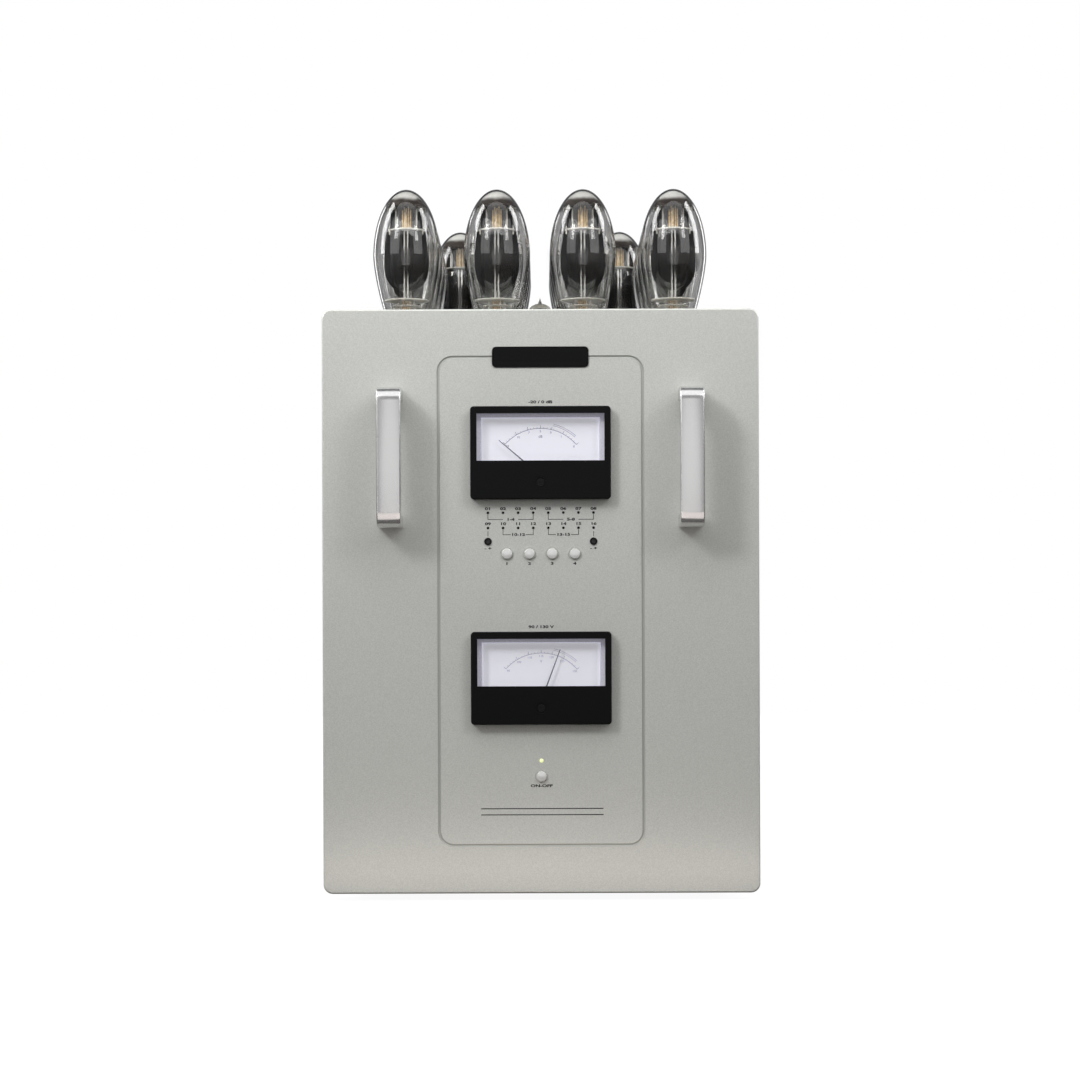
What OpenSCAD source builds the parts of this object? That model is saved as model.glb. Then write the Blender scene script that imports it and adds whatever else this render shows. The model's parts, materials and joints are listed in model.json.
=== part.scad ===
// Vacuum-tube monoblock power amplifier: a tall metal case behind a thick front panel with
// two moving-coil meters, push buttons and two handles, and a deck of power tubes on top.
// Frame: +X right, the front faces -Y, +Z up, origin on the floor below the middle.

/* [Front panel] */
// Width of the front panel
panel_w = 368; // [360:1:400]
// Height of the front panel
panel_h = 492; // [480:1:530]
// Thickness of the front panel
panel_t = 12; // [10:0.5:16]
// Radius of the panel's corners
panel_r = 8; // [4:0.5:14]
// Chamfer round the panel's front face
panel_chamfer = 1.2; // [0.6:0.1:2]
// Height of the panel's lower edge above the floor
panel_lift = 6; // [3:0.5:10]
// Width of the engraved frame line
frame_w = 172; // [160:1:190]
// Height of the engraved frame line
frame_h = 411; // [400:1:430]
// Corner radius of the engraved frame line
frame_r = 12; // [8:0.5:18]
// Width of the engraved groove
groove_w = 2.6; // [1.6:0.1:3.4]
// Depth of the engraved groove
groove_depth = 1; // [0.6:0.1:1.6]

/* [Badge] */
// Width of the badge plate
badge_w = 81; // [60:1:100]
// Height of the badge plate
badge_h = 17.3; // [14:0.1:22]
// Corner radius of the badge plate
badge_r = 3.5; // [2:0.1:6]
// Thickness of the badge plate
badge_t = 2.2; // [1.6:0.1:3]
// Depth of the pocket that holds the badge plate
badge_pocket = 1.2; // [0.8:0.1:1.4]

/* [Handles] */
// Distance of each handle's middle from the panel's side edge
handle_inset = 58; // [46:1:68]
// Height of the handles' middle above the panel's middle
handle_y = 120; // [90:1:130]
// Width of a handle bar
handle_w = 20.3; // [16:0.1:26]
// Height of a handle
handle_h = 117; // [100:1:130]
// Reach of a handle in front of the panel
handle_out = 38; // [32:0.5:46]
// Thickness of the handle's bar and legs
handle_bar = 11; // [9:0.5:14]
// Outer corner radius of a handle
handle_r = 12; // [8:0.5:14]
// Inner corner radius of a handle
handle_inner_r = 4; // [2:0.5:6]
// Radius of a handle bolt
handle_bolt_r = 3; // [2.5:0.25:3.5]

/* [Case] */
// Distance from the panel's front face to the rear panel's outer face
case_depth = 516; // [490:1:560]
// Overhang of the front panel past each side cover
panel_overhang = 14; // [8:0.5:16]
// Drop from the panel's top edge to the tube deck
deck_drop = 14; // [8:0.5:20]
// Thickness of the tube deck
deck_t = 2.5; // [2:0.1:4]
// Thickness of the side covers
cover_t = 2; // [1.5:0.1:3]
// Thickness of the rear panel
rear_t = 3; // [2:0.1:4]
// Thickness of the bottom plate
bottom_t = 3; // [2:0.1:4]
// Side of the square corner posts
post_side = 16; // [14:0.5:20]
// Width of a vent slot
slot_w = 4; // [3:0.5:5]
// Length of a vent slot
slot_len = 62; // [40:1:70]
// Vent slots in a row
slot_count = 22; // [10:1:24]
// Spacing of the vent slots
slot_pitch = 16; // [10:0.5:18]
// Shank radius of a case screw
screw_r = 2; // [1.5:0.1:2.2]
// Head radius of a case screw
screw_head_r = 3.8; // [3:0.1:4.5]
// Head height of a case screw
screw_head_h = 2.2; // [1.8:0.1:3]
// Grip of a case screw in what it is driven into
screw_grip = 8; // [6:0.5:9]

/* [Feet] */
// Height of a foot
foot_h = 18; // [14:0.5:24]
// Radius of a foot where it meets the floor
foot_r = 20; // [16:0.5:24]
// Distance of each foot from the centre line
foot_x = 130; // [110:1:140]
// Distance of the feet from the ends of the case
foot_inset = 85; // [75:1:110]
// Shank radius of a foot screw
foot_screw_r = 2.5; // [2:0.1:3]

/* [Meters] */
// Width of a meter bezel
meter_w = 118; // [112:0.5:126]
// Height of a meter bezel
meter_h = 78; // [74:0.5:84]
// Height of the output meter above the panel's middle
output_meter_y = 124.6; // [120:0.2:130]
// Height of the line meter above the panel's middle
line_meter_y = -64.7; // [-75:0.1:-60]
// Reach of a bezel in front of the panel
bezel_out = 9; // [8:0.5:12]
// Thickness of the bezel's face
bezel_face = 2; // [1.6:0.1:2.6]
// Thickness of the bezel's side walls
bezel_wall = 2.4; // [1.8:0.1:3]
// Corner radius of a bezel
bezel_r = 3; // [2.5:0.1:5]
// Chamfer round a bezel's face
bezel_chamfer = 0.8; // [0.4:0.1:1]
// Width of a meter window
window_w = 107.3; // [98:0.1:110]
// Height of a meter window
window_h = 39.7; // [34:0.1:42]
// Bezel above the window
window_margin = 6; // [4.5:0.1:8]
// Thickness of the window pane
pane_t = 1.8; // [1.2:0.1:2.2]
// Reach of the window pane behind the bezel's edge
pane_lap = 1.5; // [1:0.1:1.8]
// Inset of the meter's case from its bezel
can_inset = 7; // [6:0.5:8]
// Depth of the meter's case behind the panel's face
can_depth = 34; // [30:0.5:45]
// Wall of the meter's case
can_wall = 2; // [1.5:0.1:2.5]
// Height of the needle's pivot above the bezel's lower edge
pivot_up = 20; // [18:0.1:21]
// Length of a needle from its pivot
needle_len = 46; // [40:0.5:48]
// Height of the zero screw above the bezel's lower edge
zero_up = 14; // [11:0.1:15]
// Radius of the zero screw
zero_r = 3; // [2.5:0.1:3.5]
// Angle of the output needle, right of upright
output_angle = -49.5; // [-50:0.5:48]
// Angle of the line needle, right of upright
line_angle = 20.4; // [-50:0.1:48]

/* [Buttons and lamps] */
// Radius of a button
button_r = 4.4; // [4:0.1:5]
// Reach of a button in front of the panel
button_out = 2.6; // [2:0.1:4]
// Travel of a button
button_travel = 2; // [1:0.1:2.2]
// Spacing of the function buttons
button_pitch = 19.05; // [17:0.05:22]
// Height of the function buttons above the panel's middle
button_y = 39.9; // [36:0.1:42]
// Height of the power button above the panel's middle
power_y = -147.5; // [-155:0.5:-142]
// Radius of a status lamp
lamp_r = 1.15; // [0.8:0.05:1.5]
// Spacing of the status lamps
lamp_pitch = 12.7; // [11:0.1:13.5]
// Height of the upper lamp row above the panel's middle
lamp_y = 74.5; // [70:0.1:78]
// Drop from the upper to the lower lamp row
lamp_drop = 12.8; // [11:0.1:14]
// Radius of the power lamp
power_lamp_r = 1.6; // [1.2:0.1:2]
// Height of the power lamp above the power button
power_lamp_up = 13.2; // [11:0.1:16]
// Distance of the bias trimmers from the centre line
trimmer_x = 44.45; // [40:0.05:48]
// Height of the bias trimmers above the panel's middle
trimmer_y = 50.3; // [49:0.1:53]
// Radius of a trimmer bushing's rim
bushing_r = 3.2; // [2.8:0.1:4]
// Radius of a trimmer's shaft
trimmer_r = 1.6; // [1.2:0.1:1.8]
// Gap between the panel and the control boards
board_gap = 12; // [10:0.5:16]

/* [Rear connections] */
// Reach of a speaker post behind the rear panel
post_out = 30; // [28:0.5:36]
// Radius of a speaker post
stud_r = 4; // [3.5:0.1:4.5]
// Radius of the plug bore in a speaker post
plug_r = 2; // [1.6:0.05:2.2]
// Depth of the plug bore in a speaker post
plug_depth = 18; // [12:0.5:20]
// Spacing of the speaker posts
post_pitch = 38; // [30:0.5:45]
// Height of the speaker posts above the panel's middle
post_y = 20; // [0:1:40]
// Radius of a speaker nut
nut_r = 9; // [7.5:0.1:10]
// Length of a speaker nut
nut_len = 14; // [10:0.5:15]
// Distance of the cooling fans from the centre line
fan_x = 80; // [60:1:95]
// Height of the cooling fans above the panel's middle
fan_y = 130; // [110:1:140]
// Side of a cooling fan's frame
fan_side = 80; // [70:1:90]
// Depth of a cooling fan
fan_t = 25; // [22:0.5:30]
// Blades on a fan rotor
fan_blades = 7; // [5:1:9]
// Distance of the input socket from the centre line, seen from behind
input_x = -70; // [-110:1:-40]
// Height of the input socket above the panel's middle
input_y = -60; // [-90:1:-40]
// Distance of the mains inlet from the centre line, seen from behind
inlet_x = 80; // [40:1:110]
// Height of the mains inlet above the panel's middle
inlet_y = -150; // [-180:1:-120]

/* [Power tubes] */
// Distance of the inner tube columns from the centre line
inner_column = 38.5; // [36:0.1:42]
// Distance of the outer tube columns from the centre line
outer_column = 119.5; // [112:0.1:126]
// Distance of the first tube row behind the panel's face
first_row = 143; // [120:1:160]
// Spacing of the tube rows
row_pitch = 69; // [64:0.5:76]
// Tube rows
row_count = 4; // [2:1:4]
// Distance of the driver tubes behind the last row
driver_back = 52; // [50:0.5:60]
// Height of a tube above its socket
tube_h = 136; // [125:0.5:145]
// Greatest radius of the bulb
bulb_r = 29.8; // [26:0.1:31]
// Distance of the bulb's widest place below its top
bulb_belly = 60; // [50:0.5:66]
// Radius of the bulb's neck
neck_r = 17.5; // [15:0.1:18.5]
// Wall of the bulb
glass_t = 1.2; // [0.8:0.1:1.6]
// Radius of a tube base
base_r = 20; // [19:0.1:21]
// Height of a tube base
base_h = 17; // [14:0.5:22]
// Radius of a tube pin
pin_r = 1.15; // [0.9:0.05:1.2]
// Radius of the circle of tube pins
pin_circle = 8.73; // [8:0.01:9.5]
// Length of a tube pin
pin_len = 11; // [8:0.5:12]
// Radius of a tube socket's body
socket_r = 16; // [14:0.5:17]
// Rim of a tube socket on the deck
socket_rim_r = 21; // [19:0.5:23]

/* [Signal tubes] */
// Radius of a signal tube
signal_r = 11; // [9:0.1:11.5]
// Height of a signal tube above its socket
signal_h = 52; // [46:0.5:66]
// Wall of a signal tube
signal_wall = 0.9; // [0.7:0.1:1.2]

/* [Inside] */
// Thickness of the circuit boards
board_t = 1.6; // [1.2:0.1:2.4]
// Depth of a tube socket below the deck's top
socket_depth = 16; // [14:0.5:20]
// Width of a transformer core
core_w = 130; // [110:1:140]
// Height of a transformer core
core_h = 112; // [100:1:130]
// Thickness of the power transformer's core
power_core_t = 96; // [70:1:110]
// Thickness of the output transformer's core
output_core_t = 84; // [60:1:110]
// Radius of a filter capacitor
can_cap_r = 25; // [20:0.5:30]
// Height of a filter capacitor
can_cap_h = 105; // [80:1:130]

/* [Hidden] */
$fn = 48;

// Clearances and small sizes
slide_fit = 0.08;
loose_fit = 0.25;
face_gap = 0.1;
lip_gap = 0.3;
over = 0.5;
bevel = 0.6;
drive_r = 1.7;
drive_depth = 1.3;
head_edge = 0.45;
head_flat = 0.72;

// Places that follow from the driving sizes
panel_top = panel_lift + panel_h;
panel_mid = panel_lift + panel_h / 2;
front_y = handle_out - (handle_out + case_depth + post_out) / 2;
rear_y = front_y + case_depth;
case_w = panel_w - 2 * panel_overhang;
handle_x = panel_w / 2 - handle_inset;
inner_w = case_w - 2 * cover_t;
inner_front = front_y + panel_t;
inner_rear = rear_y - rear_t;
inner_len = inner_rear - inner_front;
deck_top = panel_top - deck_drop;
deck_under = deck_top - deck_t;
bottom_top = foot_h + bottom_t;
case_h = deck_top - foot_h;
corner_x = inner_w / 2 - post_side / 2;
corner_ys = [inner_front + post_side / 2, inner_rear - post_side / 2];
case_mid_z = foot_h + case_h / 2;
cover_screw_end = 43;
end_screw_shift = 25;
end_screw_end = cover_screw_end + end_screw_shift;
cover_screw_zs = [foot_h + cover_screw_end, case_mid_z, deck_top - cover_screw_end];
end_screw_zs = [foot_h + end_screw_end, case_mid_z + end_screw_shift, deck_top - end_screw_end];
slot_row_end = 75;
slot_row_zs = [foot_h + slot_row_end, deck_top - slot_row_end];
slot_row_y = (inner_front + inner_rear) / 2;
handle_bolt_head = [5, 4];
foot_bore_r = foot_screw_r * 2 + 1.5;
foot_flare = 2;
foot_edge = 1;
foot_screw_head_h = 3.4;
foot_screw_past = 4;

// Meter layout, measured from a meter's middle
window_y = meter_h / 2 - window_margin - window_h / 2;
pivot_y = pivot_up - meter_h / 2;
zero_y = zero_up - meter_h / 2;
cavity_w = meter_w - 2 * bezel_wall;
cavity_h = meter_h - 2 * bezel_wall;
face_back = bezel_out - bezel_face;
can_w = meter_w - 2 * can_inset;
can_h = meter_h - 2 * can_inset;
flange_t = 1.2;
shelf_depth = 7;
shelf_t = 2;
dial_front = -2;
dial_t = 0.6;
dial_below = 3;
dial_low = window_y - window_h / 2 - dial_below;
can_back = can_wall - can_depth;
movement_max_r = 8.5;
movement_gap = 0.4;
magnet_wall = 3.5;
coil_air = 0.8;
movement_r = min(movement_max_r, dial_low - pivot_y - movement_gap);
magnet_bore_r = movement_r - magnet_wall;
coil_r = magnet_bore_r - coil_air;
bridge_t = 6;
front_bridge = [-8.5, -6];
staff_r = 0.8;
staff_end = can_back + 1;
coil_gap = 1;
needle_z = 1.4;
needle_t = 0.5;
needle_hub_r = 2.6;
needle_half_w = [0.7, 0.3];
tail_half_w = [1, 1.6];
tail_len = 7;
dial_leg_r = 3;
dial_leg_x = can_w * 0.4;
zero_collar = [zero_r + 1.2, 1.6];
zero_recess = [zero_r + 1.8, bezel_face * 0.4];
zero_slot = [0.9, 1.6];
meter_ys = [output_meter_y, line_meter_y];

// Front controls, measured from the panel's middle
button_xs = [-1.5, -0.5, 0.5, 1.5] * button_pitch;
lamp_xs = [for (k = [-3.5:3.5]) k * lamp_pitch];
lamp_ys = [lamp_y, lamp_y - lamp_drop];
button_places = [for (x = button_xs) [x, button_y], [0, power_y]];
power_lamp_y = power_y + power_lamp_up;
board_front = -panel_t - board_gap;
switch_h = 6;
switch_front = board_front + switch_h;
switch_side = 9;
stem_r = 2;
stem_grip = 2;
button_dish_r = button_r + 1.4;
button_dish_depth = 1;
button_edge = 0.8;
button_crown = 0.2;
button_lip_r = button_r + 1.8;
button_lip_t = 1.5;
lip_front = -panel_t - lip_gap;
lamp_sink = 0.3;
power_lamp_sink = 0.4;
bushing_rim_t = 0.8;
bushing_bore_r = trimmer_r + slide_fit;
bushing_sleeve_r = bushing_r - 0.6;
trimmer_floor = board_front + 1;
trimmer_sink = 2;
trimmer_slot = [0.6, 1.6];
board_margin = 7;
power_board_half_w = 20;
standoff_r = 3;
standoff_inset = 3.4;

// Rear parts
insulator_h = 4;
insulator_r = nut_r + 0.5;
insulator_neck_r = stud_r + 2;
inner_washer = [5, 2];
lock_nut = [4, 3];
stud_inside = 16;
washer_t = 2;
washer_z = insulator_h + face_gap;
nut_z = washer_z + washer_t + face_gap;
nut_edge = 1.2;
flute_r = 1.6;
flute_out = 0.9;
flute_step = 30;
guard_t = 1.6;
guard_wire = 1.8;
guard_first_r = 10;
guard_pitch = 7;
guard_spoke_w = 2;
fan_corner_r = 5;
fan_bore_r = fan_side / 2 - 2;
fan_hole = fan_side / 2 - 4.25;
fan_hub_t = 3;
fan_spoke_w = 4;
bearing_r = 4;
bearing_h = 13;
rotor_hub_r = 16;
rotor_wall = 1.5;
rotor_back = fan_t - 5;
rotor_web = 2;
fan_shaft_r = 1.5;
fan_shaft_start = 1;
blade_t = 1.5;
blade_h = 16;
blade_pitch = 40;
blade_gap = 1;
post_xs = [-1.5, -0.5, 0.5, 1.5] * post_pitch;
xlr_r = 11.5;
xlr_depth = 20;
xlr_plate = [26, 31, 2];
xlr_screw = [9.5, 12];
xlr_groove = [xlr_r - 2.7, xlr_r - 1.2, 12];
xlr_hole = [5, 1.4, 13];
plate_corner_r = 2;
socket_screw_past = 2;
inlet_body = [33, 26, 22];
inlet_plate = [50, 29, 3];
inlet_plate_r = 4;
inlet_cavity = [28, 21, 17];
inlet_screw_x = 20.5;
inlet_pin_short = 4;
inlet_pin = [8, 2, inlet_cavity[2] - inlet_pin_short];
inlet_pin_places = [[-7, -5], [7, -5], [0, 5]];

// Inside parts
core_leg = core_w / 3.4;
core_limb = core_leg / 2;
core_window = [(core_w - 2 * core_leg) / 2, core_h - 2 * core_limb];
coil_depth = core_window[0] * 1.4;
coil_corner_r = core_window[0] / 3;
coil_side_gap = 1;
transformer_x = inner_w / 4;
transformer_room = 10;
transformer_end = inner_rear - foot_inset - foot_screw_r - transformer_room;
transformer_y = transformer_end - max(power_core_t, output_core_t) / 2;
can_cap_room = 12;
can_cap_pitch = 2 * can_cap_r + can_cap_room;
can_cap_y = inner_front + foot_inset + foot_screw_r + can_cap_r + can_cap_room;
can_cap_edge = 1.5;
can_cap_lip = 3;

// Tube layout
row_ys = [for (k = [0:row_count - 1]) front_y + first_row + k * row_pitch];
driver_y = row_ys[row_count - 1] + driver_back;
driver_x = (inner_column + outer_column) / 2;
column_xs = [-outer_column, -inner_column, inner_column, outer_column];
power_places = [
    for (y = row_ys) for (x = column_xs) [x, y],
    [-driver_x, driver_y], [driver_x, driver_y]
];
signal_places = [for (k = [1:row_count - 1]) if (k > 1) [0, row_ys[k] - row_pitch / 2]];
socket_rim_t = 2;
seat_z = deck_top + socket_rim_t;
socket_low = deck_top - socket_depth;
pin_room = 1;
base_floor = 3;
base_shoulder = 1.5;
bulb_h = tube_h - base_h;
dome_steps = 10;
taper_steps = 7;
taper_power = 1.47;
key_r = 3.9;
deck_slot_len = row_pitch * 0.6;
deck_slot_x = 1.5 * slot_w;

// Electrodes of a power tube: depths are measured down from the bulb's top
mica_t = 1;
mica_room = 3;
top_mica_down = 22;
top_mica_r = egg_radius(top_mica_down - glass_t, bulb_r - glass_t, bulb_belly - glass_t) - mica_room;
anode = [34, 19, 54];
anode_down = 39;
anode_mica_r = 15.5;
low_mica_down = 102;
low_mica_r = neck_r - glass_t - mica_room;
support_rod = [1.1, 7];
grid_rod = [1.3, 4];

// Signal tubes
signal_socket_r = signal_r;
signal_rim_r = signal_r + 3;
signal_hole_r = 1.5;
signal_pin_r = 0.5;
signal_pin_circle = 5.95;
signal_dome_h = 8;
signal_tip_h = 6;
signal_tip_r = 2;
signal_inner_tip_r = 0.6;
signal_tip_wall = 5;
signal_mica_r = signal_r - signal_wall - bevel;
signal_mica_t = 0.7;
signal_mica_up = signal_wall + 5;
signal_anode = [12, 8, signal_h * 0.5];
signal_rod = [0.8, 3];

// Shared shapes

// The front panel's frame: origin at the middle of its front face, x right, y up, z outwards
module facing() translate([0, front_y, panel_mid]) rotate([90, 0, 0]) children();

// The rear panel's frame: origin at the middle of its outer face, y up, z outwards
module rear_facing() translate([0, rear_y, panel_mid]) rotate([90, 0, 180]) children();

// A rectangle with true round corners
module rounded_rect(w, h, r) {
    square([w - 2 * r, h], center = true);
    square([w, h - 2 * r], center = true);
    for (x = [-1, 1]) for (y = [-1, 1])
        translate([x * (w / 2 - r), y * (h / 2 - r)]) circle(r);
}

// Carries a flat profile (x outwards, y along z) round a rectangle with round corners
module round_frame(w, h, r) {
    for (s = [0, 180]) rotate([0, 0, s]) {
        rotate([90, 0, 90]) linear_extrude(w - 2 * r, center = true) translate([h / 2, 0]) children();
        rotate([90, 0, 0]) linear_extrude(h - 2 * r, center = true) translate([w / 2, 0]) children();
    }
    for (k = [0:3]) {
        sx = k == 0 || k == 3 ? 1 : -1;
        sy = k < 2 ? 1 : -1;
        translate([sx * (w / 2 - r), sy * (h / 2 - r), 0]) rotate([0, 0, k * 90])
            rotate_extrude(angle = 90) translate([r, 0]) children();
    }
}

// What a chamfer of size c takes off the front edge of a slab
module front_chamfer(w, h, r, c)
    round_frame(w, h, r) polygon([[-c - over, over], [over, over], [over, -c - over]]);

// A button-head screw with a hexagon drive, its head's seat at z = 0 and its shank downwards
module screw(r, length, head_r, head_h) difference() {
    rotate_extrude() polygon([
        [0, -length], [r, -length], [r, 0], [head_r, 0],
        [head_r, head_h * head_edge], [head_r * head_flat, head_h], [0, head_h]
    ]);
    translate([0, 0, head_h - drive_depth]) cylinder(r = drive_r, h = drive_depth + over, $fn = 6);
}

// The hole that such a screw passes through
module screw_hole(r, length)
    translate([0, 0, -length - over]) cylinder(r = r + loose_fit, h = length + 2 * over);

// A vent slot with round ends, along y
module slot(w, length) {
    square([w, length - w], center = true);
    for (s = [-1, 1]) translate([0, s * (length - w) / 2]) circle(w / 2, $fn = 24);
}

// Places for the case screws
module side_screw_places()
    for (s = [-1, 1]) for (y = corner_ys) for (z = cover_screw_zs)
        translate([s * case_w / 2, y, z]) rotate([0, s * 90, 0]) children();

module deck_screw_places()
    for (s = [-1, 1]) for (y = corner_ys) translate([s * corner_x, y, deck_top]) children();

module bottom_screw_places()
    for (s = [-1, 1]) for (y = corner_ys)
        translate([s * corner_x, y, foot_h]) rotate([180, 0, 0]) children();

module rear_screw_places()
    for (s = [-1, 1]) for (z = end_screw_zs)
        translate([s * corner_x, rear_y, z]) rotate([-90, 0, 0]) children();

module panel_screw_places()
    for (s = [-1, 1]) for (z = end_screw_zs)
        translate([s * corner_x, inner_front + post_side, z]) rotate([-90, 0, 0]) children();

module guard_screw_places()
    rear_facing() for (s = [-1, 1]) for (x = [-1, 1]) for (y = [-1, 1])
        translate([s * fan_x + x * fan_hole, fan_y + y * fan_hole, guard_t]) children();

module input_screw_places()
    rear_facing() for (s = [-1, 1])
        translate([input_x + s * xlr_screw[0], input_y + s * xlr_screw[1], xlr_plate[2]]) children();

module inlet_screw_places()
    rear_facing() for (s = [-1, 1])
        translate([inlet_x + s * inlet_screw_x, inlet_y, inlet_plate[2]]) children();

module handle_bolt_places()
    facing() for (s = [-1, 1]) for (e = [-1, 1])
        translate([s * handle_x, handle_y + e * (handle_h - handle_bar) / 2, -panel_t])
            rotate([180, 0, 0]) children();

module foot_places()
    for (x = [-foot_x, foot_x]) for (y = [inner_front + foot_inset, inner_rear - foot_inset])
        translate([x, y, 0]) children();

module at_meters() facing() for (y = meter_ys) translate([0, y, 0]) children();
module at_power_tubes() for (p = power_places) translate([p[0], p[1], seat_z]) children();
module at_signal_tubes() for (p = signal_places) translate([p[0], p[1], seat_z]) children();

// Case

// Thick front panel with its engraved frame line, cut for the meters, badge and controls
module front_panel() color("#b9bab6") difference() {
    facing() difference() {
        translate([0, 0, -panel_t]) linear_extrude(panel_t) difference() {
            rounded_rect(panel_w, panel_h, panel_r);
            for (y = meter_ys) translate([0, y]) rounded_rect(can_w + 2 * over, can_h + 2 * over, bezel_r);
            for (p = button_places) translate(p) circle(button_r + slide_fit);
            for (x = lamp_xs) for (y = lamp_ys) translate([x, y]) circle(lamp_r + slide_fit);
            translate([0, power_lamp_y]) circle(power_lamp_r + slide_fit);
            for (s = [-1, 1]) translate([s * trimmer_x, trimmer_y]) circle(bushing_sleeve_r + slide_fit);
        }
        front_chamfer(panel_w, panel_h, panel_r, panel_chamfer);
        round_frame(frame_w, frame_h, frame_r)
            polygon([[-groove_w, groove_depth], [groove_w, groove_depth], [0, -groove_depth]]);
        translate([0, frame_h / 2, -badge_pocket]) linear_extrude(badge_pocket + over)
            rounded_rect(badge_w + 2 * loose_fit, badge_h + 2 * loose_fit, badge_r);
        for (p = button_places) translate([p[0], p[1], -button_dish_depth])
            cylinder(r1 = button_r + slide_fit, r2 = button_dish_r, h = button_dish_depth + 0.001);
    }
    handle_bolt_places() screw_hole(handle_bolt_r, panel_t);
    panel_screw_places() screw_hole(screw_r, post_side + screw_grip);
}

// One U-shaped handle with tapped legs
module handle(side) color("#c9c9c8") difference() {
    facing() translate([side * handle_x, handle_y, 0]) rotate([90, 0, 90])
        linear_extrude(handle_w, center = true) difference() {
            bar_outline(handle_h, handle_out, handle_r, 0);
            bar_outline(handle_h - 2 * handle_bar, handle_out - handle_bar, handle_inner_r, over);
        }
    handle_bolt_places() screw_hole(handle_bolt_r, panel_t + handle_bar + screw_grip);
}

// A block on the panel with its two outer corners rounded
module bar_outline(h, out, r, sunk) {
    translate([-h / 2, -sunk]) square([h, out - r + sunk]);
    translate([r - h / 2, -sunk]) square([h - 2 * r, out + sunk]);
    for (s = [-1, 1]) translate([s * (h / 2 - r), out - r]) circle(r);
}

module handle_left() handle(-1);
module handle_right() handle(1);

// Bolts that hold the handles from behind the panel
module handle_bolts() color("#4a4a4c")
    handle_bolt_places()
        screw(handle_bolt_r, panel_t + handle_bar + screw_grip, handle_bolt_head[0], handle_bolt_head[1]);

// Plain badge plate across the top of the frame line
module badge_plate() color("#141414") facing() translate([0, frame_h / 2, -badge_pocket])
    linear_extrude(badge_t) rounded_rect(badge_w, badge_h, badge_r);

// Steel floor of the case
module bottom_plate() color("#5a5b5d") difference() {
    translate([-inner_w / 2, inner_front, foot_h]) cube([inner_w, inner_len, bottom_t]);
    bottom_screw_places() screw_hole(screw_r, bottom_t);
    foot_places() translate([0, 0, foot_h - over])
        cylinder(r = foot_screw_r + loose_fit, h = bottom_t + 2 * over);
}

// Sheet-metal side with two rows of vent slots
module side_cover(side) color("#2c2d2f") difference() {
    translate([side * (case_w / 2 - cover_t / 2), 0, 0]) rotate([90, 0, 90])
        linear_extrude(cover_t, center = true) difference() {
            translate([inner_front, foot_h]) square([inner_len, case_h]);
            for (z = slot_row_zs) for (k = [0:slot_count - 1])
                translate([slot_row_y + (k - (slot_count - 1) / 2) * slot_pitch, z]) slot(slot_w, slot_len);
        }
    side_screw_places() screw_hole(screw_r, cover_t);
}

module side_cover_left() side_cover(-1);
module side_cover_right() side_cover(1);

// Rear panel with its openings for the fans and the connections
module rear_panel() color("#303133") difference() {
    rear_facing() difference() {
        translate([0, 0, -rear_t]) linear_extrude(rear_t) difference() {
            translate([-case_w / 2, foot_h - panel_mid]) square([case_w, case_h]);
            for (s = [-1, 1]) translate([s * fan_x, fan_y]) circle(fan_bore_r + over);
            for (x = post_xs) translate([x, post_y]) circle(insulator_neck_r + loose_fit);
            translate([input_x, input_y]) circle(xlr_r + loose_fit);
            translate([inlet_x, inlet_y])
                square([inlet_body[0] + 2 * loose_fit, inlet_body[1] + 2 * loose_fit], center = true);
        }
    }
    rear_screw_places() screw_hole(screw_r, rear_t);
    guard_screw_places() screw_hole(screw_r, guard_t + rear_t);
    input_screw_places() screw_hole(screw_r, xlr_plate[2] + rear_t);
    inlet_screw_places() screw_hole(screw_r, inlet_plate[2] + rear_t);
}

// Tube deck with a hole for each socket and vent slots between the columns
module top_deck() color("#3a3b3d") difference() {
    translate([0, 0, deck_under]) linear_extrude(deck_t) difference() {
        translate([-inner_w / 2, inner_front]) square([inner_w, inner_len]);
        for (p = power_places) translate(p) circle(socket_r + loose_fit);
        for (p = signal_places) translate(p) circle(signal_socket_r + loose_fit);
        for (s = [-1, 1]) for (y = row_ys) for (k = [-1, 1])
            translate([s * driver_x + k * deck_slot_x, min(y, driver_y - 2 * socket_rim_r)])
                slot(slot_w, deck_slot_len);
    }
    deck_screw_places() screw_hole(screw_r, deck_t);
}

// Four square posts that tie the plates together
module corner_posts() color("#8d8e90") difference() {
    for (s = [-1, 1]) for (y = corner_ys)
        translate([s * corner_x - post_side / 2, y - post_side / 2, bottom_top])
            cube([post_side, post_side, deck_under - bottom_top]);
    side_screw_places() screw_hole(screw_r, cover_t + screw_grip);
    deck_screw_places() screw_hole(screw_r, deck_t + screw_grip);
    bottom_screw_places() screw_hole(screw_r, bottom_t + screw_grip);
    rear_screw_places() screw_hole(screw_r, rear_t + screw_grip);
    panel_screw_places() screw_hole(screw_r, post_side);
}

// Screws of the case, the fans and the rear sockets
module case_screws() color("#1c1c1d") {
    side_screw_places() screw(screw_r, cover_t + screw_grip, screw_head_r, screw_head_h);
    deck_screw_places() screw(screw_r, deck_t + screw_grip, screw_head_r, screw_head_h);
    bottom_screw_places() screw(screw_r, bottom_t + screw_grip, screw_head_r, screw_head_h);
    rear_screw_places() screw(screw_r, rear_t + screw_grip, screw_head_r, screw_head_h);
    panel_screw_places() screw(screw_r, post_side + screw_grip, screw_head_r, screw_head_h);
    guard_screw_places() screw(screw_r, guard_t + rear_t + screw_grip, screw_head_r, screw_head_h);
    input_screw_places()
        screw(screw_r, xlr_plate[2] + rear_t + socket_screw_past, screw_head_r, screw_head_h);
    inlet_screw_places()
        screw(screw_r, inlet_plate[2] + rear_t + socket_screw_past, screw_head_r, screw_head_h);
}

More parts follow.
